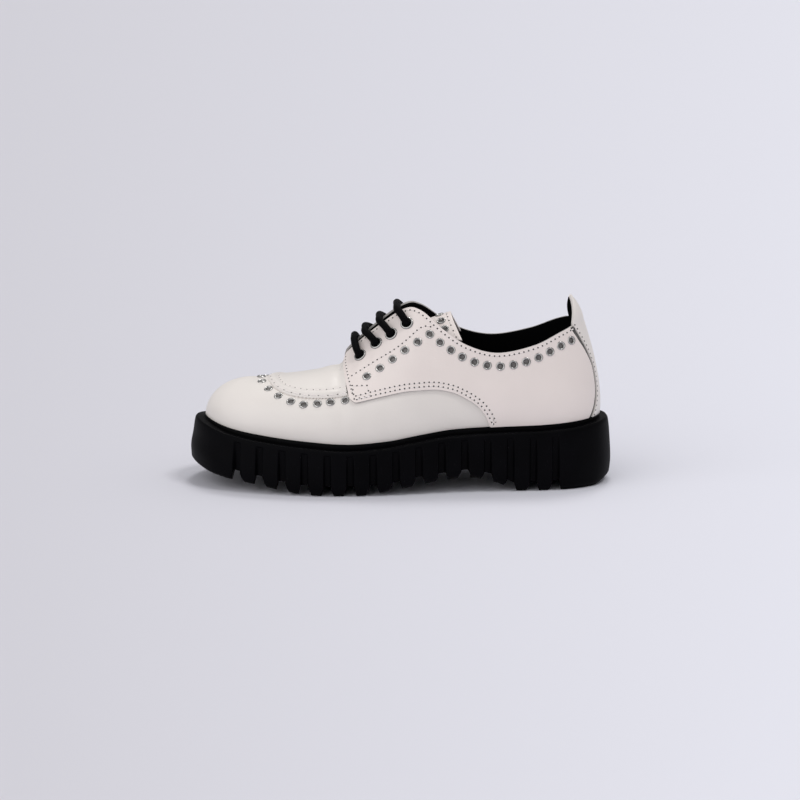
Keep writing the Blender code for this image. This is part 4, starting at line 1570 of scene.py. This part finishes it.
@dataclass(frozen=True)
class Tongue:
    """Lined flap under the facings, its leather folded over the end, with a row of small eyelets there."""

    start_x: float = -47.0
    end_x: float = 34.0
    middle: float = 0.7
    thickness: float = 2.6
    spans: int = 69
    folded: int = 14
    studs_across: tuple[float, ...] = (-0.70, -0.40, 0.0, 0.40, 0.70)
    studs_back: float = 7.5
    rows: int = 49
    arch: float = 1.8

    def point(self, x: Array, across: Array) -> Array:
        """Outer face at a station and a share of the half width.

        Args:
            x: station along the shoe.
            across: share of the half width.

        Returns:
            Points in millimetres.
        """
        x, across = np.broadcast_arrays(np.asarray(x, float), np.asarray(across, float))
        crown, half, drop, swing = (smooth_profile(rows, x) for rows in TONGUE_COLUMNS.values())
        z = crown - drop * np.abs(across) ** self.arch
        return np.stack([x + swing * across**2, self.middle + half * across, z], -1)

    def normal(self, x: Array, across: Array) -> Array:
        """Outward normal of the face.

        Args:
            x: station along the shoe.
            across: share of the half width.

        Returns:
            Unit normals.
        """
        x_step, share_step = 0.2, 0.01
        along = self.point(x + x_step, across) - self.point(x - x_step, across)
        side = self.point(x, across + share_step) - self.point(x, across - share_step)
        return unit(np.cross(along, side))

    def row(self, back: float, across: Array, lift: float) -> tuple[Array, Array]:
        """A row of points across the tongue.

        Args:
            back: distance of the row from the tongue's end.
            across: share of the half width at each point.
            lift: height of the points over the face.

        Returns:
            Points of the row, and the outward normal at each.
        """
        x = np.full_like(across, self.end_x - back)
        normals = self.normal(x, across)
        return self.point(x, across) + normals * lift, normals

    def stud_frames(self) -> Array:
        """Frames of the small eyelets across the end."""
        points, normals = self.row(self.studs_back, np.array(self.studs_across), 0.0)
        return frames_on(points, normals, np.tile([1.0, 0.0, 0.0], (len(points), 1)))

    def build(self) -> None:
        """Arched flap with rounded edges."""
        x = np.linspace(self.start_x, self.end_x, self.spans + 1)[None, :]
        across = np.linspace(-1.0, 1.0, self.rows)[:, None]
        piece = sheet("tongue_flap", self.point(x, across))
        # The folded end has numbers 2 outside, 3 inside and 4 on its rim, all of them leather.
        dress(piece, LEATHER, LINING, LEATHER, LEATHER, LEATHER)
        for face in piece.data.polygons:
            if face.index % self.spans >= self.spans - self.folded:
                face.material_index = 2
        thicken(piece, self.thickness)
        round_edges(piece, width=0.7, segments=3)
        drill(piece, STUDS.tool(self.stud_frames(), STUDS.hole, depth=1.5))
        smooth(piece)
        hand_over(piece, Slot.LEATHER, "tongue")


@dataclass(frozen=True)
class Lace:
    """One round braided cord: straight bars over the throat, joined by runs under the facings."""

    diameter: float = 5.0
    sides: int = 18
    step: float = 0.8
    lift: float = 0.4
    bar_arch: float = 0.6
    over: tuple[float, float] = (-0.4, 3.0)
    under: tuple[float, float] = (-3.1, -6.3)
    tail: tuple[float, float] = (2.5, 5.0)
    turn_points: int = 4
    per_span: int = 14
    spoke_hint: tuple[float, float, float] = (0.3, 0.2, 1.0)

    def turn(self, centre: Array, axis: Array, toward: Array, start: float, end: float) -> list:
        """Quarter turn at an eyelet, from along its axis to along the leather.

        Args:
            centre: middle of the eyelet.
            axis: its axis, outwards.
            toward: direction that the cord leaves in.
            start: height on the axis where the turn starts.
            end: height over the leather where it ends.

        Returns:
            Points in order from the eyelet outwards.
        """
        side = unit(toward - axis * (toward @ axis)) * abs(end - start)
        points = []
        for angle in np.linspace(0.0, 0.5 * math.pi, self.turn_points):
            height = start + (end - start) * math.sin(angle)
            points.append(centre + side * (1 - math.cos(angle)) + axis * height)
        return points

    def eyelet(self, row: Eyelet, side: Side) -> tuple[Array, Array]:
        """Centre and axis of one eyelet."""
        place = LAST.place(row.rib, side)
        return LAST.offset(place, row.up, LAST.overlay), LAST.normal(place, row.up)

    def bar_end(self, row: Eyelet, side: Side) -> list:
        """Points from an eyelet to the facing edge where its bar starts.

        Args:
            row: the eyelet.
            side: side of the shoe.

        Returns:
            Points in order.
        """
        hover = LAST.overlay + self.diameter / 2 + self.lift
        centre, axis = self.eyelet(row, side)
        edge = LAST.offset(LAST.place(row.bar_rib, side), 1.0, hover)
        halfway = LAST.place((row.bar_rib + row.rib) / 2, side)
        between = LAST.offset(halfway, (1 + row.up) / 2, hover + self.lift)
        return [*self.turn(centre, axis, between - centre, *self.over), between, edge]

    def path(self) -> Array:
        """Centre line of the cord, its ends inside the first and the last eyelet.

        Returns:
            Points in order.
        """
        points: list[Array] = []
        near, far = Side.LATERAL, Side.MEDIAL
        for number, row in enumerate(LACE_EYELETS):
            start, end = self.bar_end(row, near), self.bar_end(row, far)
            if number == 0:
                centre, axis = self.eyelet(row, near)
                points += [centre - axis * depth for depth in self.tail[::-1]]
            middle = (start[-1] + end[-1]) / 2 + np.array([0.0, 0.0, self.bar_arch])
            points += [*start, middle, *end[::-1]]
            near, far = far, near
            here, axis = self.eyelet(row, near)
            if number + 1 == len(LACE_EYELETS):
                points += [here - axis * depth for depth in self.tail]
                break
            there, next_axis = self.eyelet(LACE_EYELETS[number + 1], near)
            points += self.turn(here, axis, there - here, *self.under)
            points += self.turn(there, next_axis, here - there, *self.under)[::-1]
        return np.array(points)

    def build(self) -> None:
        """Tube along the path, with a grid's own UV running along and round it."""
        line = through(self.path(), self.per_span)
        line = read_at(line, evenly(line, round(reach_of(line)[-1] / self.step)))
        along = unit(np.gradient(line, axis=0))
        first = unit(np.cross(along[0], self.spoke_hint))
        spokes = [first]
        for direction in along[1:]:
            first = unit(first - direction * (first @ direction))
            spokes.append(first)
        across = np.array(spokes)
        other = np.cross(along, across)
        turns = np.linspace(0.0, 2 * math.pi, self.sides + 1)[None, :, None]
        ring = across[:, None] * np.cos(turns) + other[:, None] * np.sin(turns)
        piece = sheet("lace_cord", line[:, None] + ring * self.diameter / 2)
        weld(piece)
        cap(piece)
        smooth(piece, angle=60.0)
        dress(piece, CORD)
        hand_over(piece, Slot.LACE, "lace")


@dataclass(frozen=True)
class Stitching:
    """Sewn rows: a bead of thread for each stitch, and a needle hole at each end of it."""

    pitch: float = 3.25
    bead: float = 0.62
    bead_extra: float = 0.5
    bead_end: float = 0.03
    steps: int = 6
    width: float = 0.8
    height: float = 0.34
    sunk: float = 0.06
    hole: float = 0.56
    hole_sides: int = 8
    hole_rim: float = 0.25
    hole_depth: float = 0.05
    hole_lift: float = 0.08
    lower_run: Run = (7.15, 12.5, 160)
    lower_insets: tuple[float, float] = (2.3, 4.9)
    front_run: Run = (0.475, 0.955, 90)
    top_run: Run = (7.25, 15.75, 240)
    margin: float = 2.2
    facing: Rows = ((7.05, 0.655), (7.85, 0.677), (8.688, 0.703), (9.55, 0.79), (10.388, 0.897))
    tack: Rows = ((7.0, 0.552), (7.525, 0.497), (7.575, 0.398), (7.025, 0.415), (7.0, 0.552))
    strip_run: Run = (0.03, 0.99, 120)
    strip_inset: float = 1.0
    apron_top: float = 0.995
    apron_pitch: float = 6.4
    seam_pitch: float = 4.5
    seam_hole: float = 0.4
    tongue_back: float = 2.8
    tongue_reach: float = 0.93
    tongue_stitches: int = 12
    tongue_lift: float = 0.02

    def thread_model(self, length: float) -> Piece:
        """One stitch: a low rounded bead along X.

        Args:
            length: length of the bead.

        Returns:
            The bead, at the origin.
        """
        turns = np.linspace(0.0, math.pi, self.steps)
        shares = np.linspace(-1.0, 1.0, self.steps)
        swell = np.sqrt(np.clip(1 - shares**4, self.bead_end, 1.0))
        points = np.zeros((len(shares), len(turns), 3))
        points[..., 0] = shares[:, None] * length / 2
        points[..., 1] = np.cos(turns) * self.width / 2 * swell[:, None]
        points[..., 2] = np.sin(turns) * self.height * swell[:, None] - self.sunk
        return sheet("stitch", points + np.array(LAST.centre))

    def hole_model(self) -> Piece:
        """One needle hole: a shallow dimple, which is painted dark as the shade in the hole.

        Returns:
            The dimple, at the origin.
        """
        deselect()
        bpy.ops.mesh.primitive_circle_add(vertices=self.hole_sides, radius=self.hole * MM, fill_type="NGON")
        dimple = bpy.context.object
        with editing(dimple):
            bpy.ops.mesh.inset(thickness=self.hole_rim * MM, depth=-self.hole_depth * MM)
        return dimple

    def quarter_rows(self, side: Side) -> list[Array]:
        """Marks of every row on one quarter: lower edge, front, collar, facing and corner tack.

        Args:
            side: side of the shoe.

        Returns:
            One line of marks for each row.
        """
        ribs = np.linspace(*self.lower_run)
        lower = np.column_stack([LAST.place(ribs, side), smooth_profile(QUARTER_EDGE, ribs)])
        ups = np.linspace(*self.front_run)
        front = np.column_stack([LAST.place(smooth_profile(QUARTER_FRONT, ups), side), ups])
        ribs = np.linspace(*self.top_run)
        top = np.column_stack([LAST.place(ribs, side), np.ones_like(ribs)])
        sign = -side.value
        rows = [LAST.inset(lower, sign * inset) for inset in self.lower_insets]
        rows += [LAST.inset(line, -sign * self.margin) for line in (front, top)]
        rows.append(marks_on(self.facing, side))
        return rows + [marks_on(ends, side) for ends in zip(self.tack, self.tack[1:])]

    def strip_rows(self) -> list[Array]:
        """Marks of the rows along the two edges of the heel strip.

        Returns:
            One line of marks for each row.
        """
        ups = np.linspace(*self.strip_run)
        rows = []
        for sign in (-1.0, 1.0):
            edge = np.column_stack([HEEL_RIB + sign * backstay_half(ups), ups])
            rows.append(LAST.inset(edge, sign * self.strip_inset))
        return rows

    def apron_row(self, apron: Apron, away: float) -> tuple[Array, Array]:
        """Marks of one seam round the apron, at a distance from its edge, and their heights.

        Args:
            apron: the apron.
            away: distance of the seam from the edge.

        Returns:
            The marks, and the height of each.
        """
        near = LAST.inset(apron.edge(), away)
        near = near[near[:, 1] < self.apron_top]
        line = np.concatenate([near[::-1], near * (-1.0, 1.0)])
        return line, apron.lift(LAST.point(line[:, 0], line[:, 1]))

    def sew(self, name: str, lines: list[Array], lift: Values) -> None:
        """Sew rows of stitches on the upper.

        Args:
            name: name of the thread and of its holes.
            lines: marks of each row.
            lift: height of the rows above the upper.
        """
        ends = [surface_frames(line, lift, 2 * spans_of(line, self.pitch)) for line in lines]
        frames, holes = (np.concatenate([row[first::2] for row in ends]) for first in (1, 0))
        self.make(name, frames, holes)

    def make(self, name: str, frames: Array, holes: Array) -> None:
        """Beads and holes on frames.

        Args:
            name: name of the thread and of its holes.
            frames: one matrix for each stitch.
            holes: one matrix for each needle hole.
        """
        length = self.pitch * self.bead + self.bead_extra
        thread = copies(f"{name}_thread", self.thread_model(length), frames)
        dress(thread, THREAD)
        smooth(thread, angle=80.0)
        hand_over(thread, Slot.LEATHER)
        lifted = holes.copy()
        lifted[:, :, 3] += lifted[:, :, 2] * self.hole_lift * MM
        pricks = copies(f"{name}_holes", self.hole_model(), lifted)
        dress(pricks, NEEDLE_HOLE_SHADE)
        hand_over(pricks, Slot.LEATHER)

    def build(self, apron: Apron, tongue: Tongue) -> None:
        """Sew every row of the shoe.

        Args:
            apron: the apron, for its seams.
            tongue: the tongue, for the row across its end.
        """
        for side in Side:
            self.sew(f"quarter_{side.word}", self.quarter_rows(side), LAST.overlay)
        self.sew("heel_strip", self.strip_rows(), LAST.overlay)
        line, lift = self.apron_row(apron, apron.trench.away)
        Stitching(pitch=self.apron_pitch).sew("apron_edge", [line], lift)
        line, lift = self.apron_row(apron, apron.seam.away)
        Stitching(pitch=self.seam_pitch, hole=self.seam_hole).sew("apron_seam", [line], lift)
        across = np.linspace(-self.tongue_reach, self.tongue_reach, 2 * self.tongue_stitches + 1)
        points, normals = tongue.row(self.tongue_back, across, self.tongue_lift)
        row = frames_on(points, normals, np.gradient(points, axis=0))
        self.make("tongue_end", row[1::2], row[::2])


@dataclass(frozen=True)
class Lamp:
    """Broad soft lamp, far off: where it stands, how wide it looks and how strong it is."""

    name: str
    azimuth: float
    elevation: float
    width: float
    strength: float

    def hang(self) -> None:
        """Put the lamp up, shining at the shoe."""
        light = bpy.data.lights.new(self.name, "SUN")
        light.energy = self.strength
        light.angle = math.radians(self.width)
        lamp = bpy.data.objects.new(self.name, light)
        lamp.rotation_euler = (math.radians(90 - self.elevation), 0.0, math.radians(self.azimuth))
        bpy.context.scene.collection.objects.link(lamp)


@dataclass(frozen=True)
class Studio:
    """Pale paper floor, soft lamps and the camera at the photograph's angle.

    A lamp's azimuth is 0 on the camera's side and 90 to its right.
    """

    target: tuple[float, float, float] = (-0.0004, 0.00063, 0.05427)
    elevation: float = 11.46
    distance: float = 1.55
    pixels_per_mm: float = 1.474
    image: float = 800.0
    sensor: float = 36.0
    floor_reach: float = 30.0
    floor_marks: int = 25
    sky: float = 0.4
    sky_colour: Colour = (0.97, 0.97, 1.0)
    lamps: tuple[Lamp, ...] = (
        Lamp("back", 170.0, 65.0, 16.0, 0.7),
        Lamp("side", 70.0, 65.0, 16.0, 0.73),
        Lamp("fill", -45.0, 30.0, 70.0, 1.05),
    )

    def build(self) -> None:
        """Set up camera, floor, lamps and sky."""
        self.camera()
        self.paper()
        for lamp in self.lamps:
            lamp.hang()
        world = bpy.data.worlds.new("studio_sky")
        world.use_nodes = True
        background = world.node_tree.nodes["Background"]
        background.inputs["Color"].default_value = (*self.sky_colour, 1.0)
        background.inputs["Strength"].default_value = self.sky
        bpy.context.scene.world = world
        bpy.context.scene.view_settings.view_transform = "Standard"

    def camera(self) -> None:
        """Camera on the lateral side, a little above the shoe."""
        lens = bpy.data.cameras.new("camera")
        lens.sensor_width = self.sensor
        lens.lens = self.pixels_per_mm * self.sensor * self.distance / MM / self.image
        camera = bpy.data.objects.new("camera", lens)
        rise = math.radians(self.elevation)
        back = Vector((0.0, -math.cos(rise), math.sin(rise)))
        camera.location = Vector(self.target) + back * self.distance
        camera.rotation_euler = (-back).to_track_quat("-Z", "Y").to_euler()
        bpy.context.scene.collection.objects.link(camera)
        bpy.context.scene.camera = camera

    def paper(self) -> None:
        """Wide flat floor, finer near the shoe."""
        shares = np.linspace(-1.0, 1.0, self.floor_marks)
        marks = self.floor_reach * shares * np.abs(shares)
        points = np.array([[(x, y, 0.0) for x in marks] for y in marks])
        piece = sheet("studio_floor", points / MM + np.array(LAST.centre))
        dress(piece, PAPER)


WELT = Band(
    "welt_band",
    ((-4.0, -0.1), (0.5, -0.1), (0.85, 0.2), (0.95, 1.6), (0.85, 3.1), (0.5, 3.6), (-4.0, 3.6)),
    WELT_RUBBER,
    Slot.WELT,
    "welt",
)
FOOTBED = Band(
    "footbed",
    ((-1.95, 0.6), (-1.9, 3.6), (-2.3, 4.0), (-4.5, 4.1)),
    LINING,
    Slot.LINING,
    "insole",
    filled=True,
)


def main() -> None:
    """Build the shoe, its fittings and the studio."""
    logging.basicConfig(level=logging.INFO, format="%(message)s")
    Studio().build()
    Sole().build()
    WELT.build()
    FOOTBED.build()
    upper = Upper()
    upper.build()
    apron = Apron()
    apron.build()
    STUDS.build("toe_eyelets", upper.toe_frames())
    for side in Side:
        quarter = Quarter(side)
        quarter.build()
        STUDS.build(f"quarter_eyelets_{side.word}", quarter.stud_frames())
    Backstay().build()
    tongue = Tongue()
    tongue.build()
    STUDS.build("tongue_eyelets", tongue.stud_frames())
    RINGS.build()
    Lace().build()
    Stitching().build(apron, tongue)


if __name__ == "__main__":
    main()
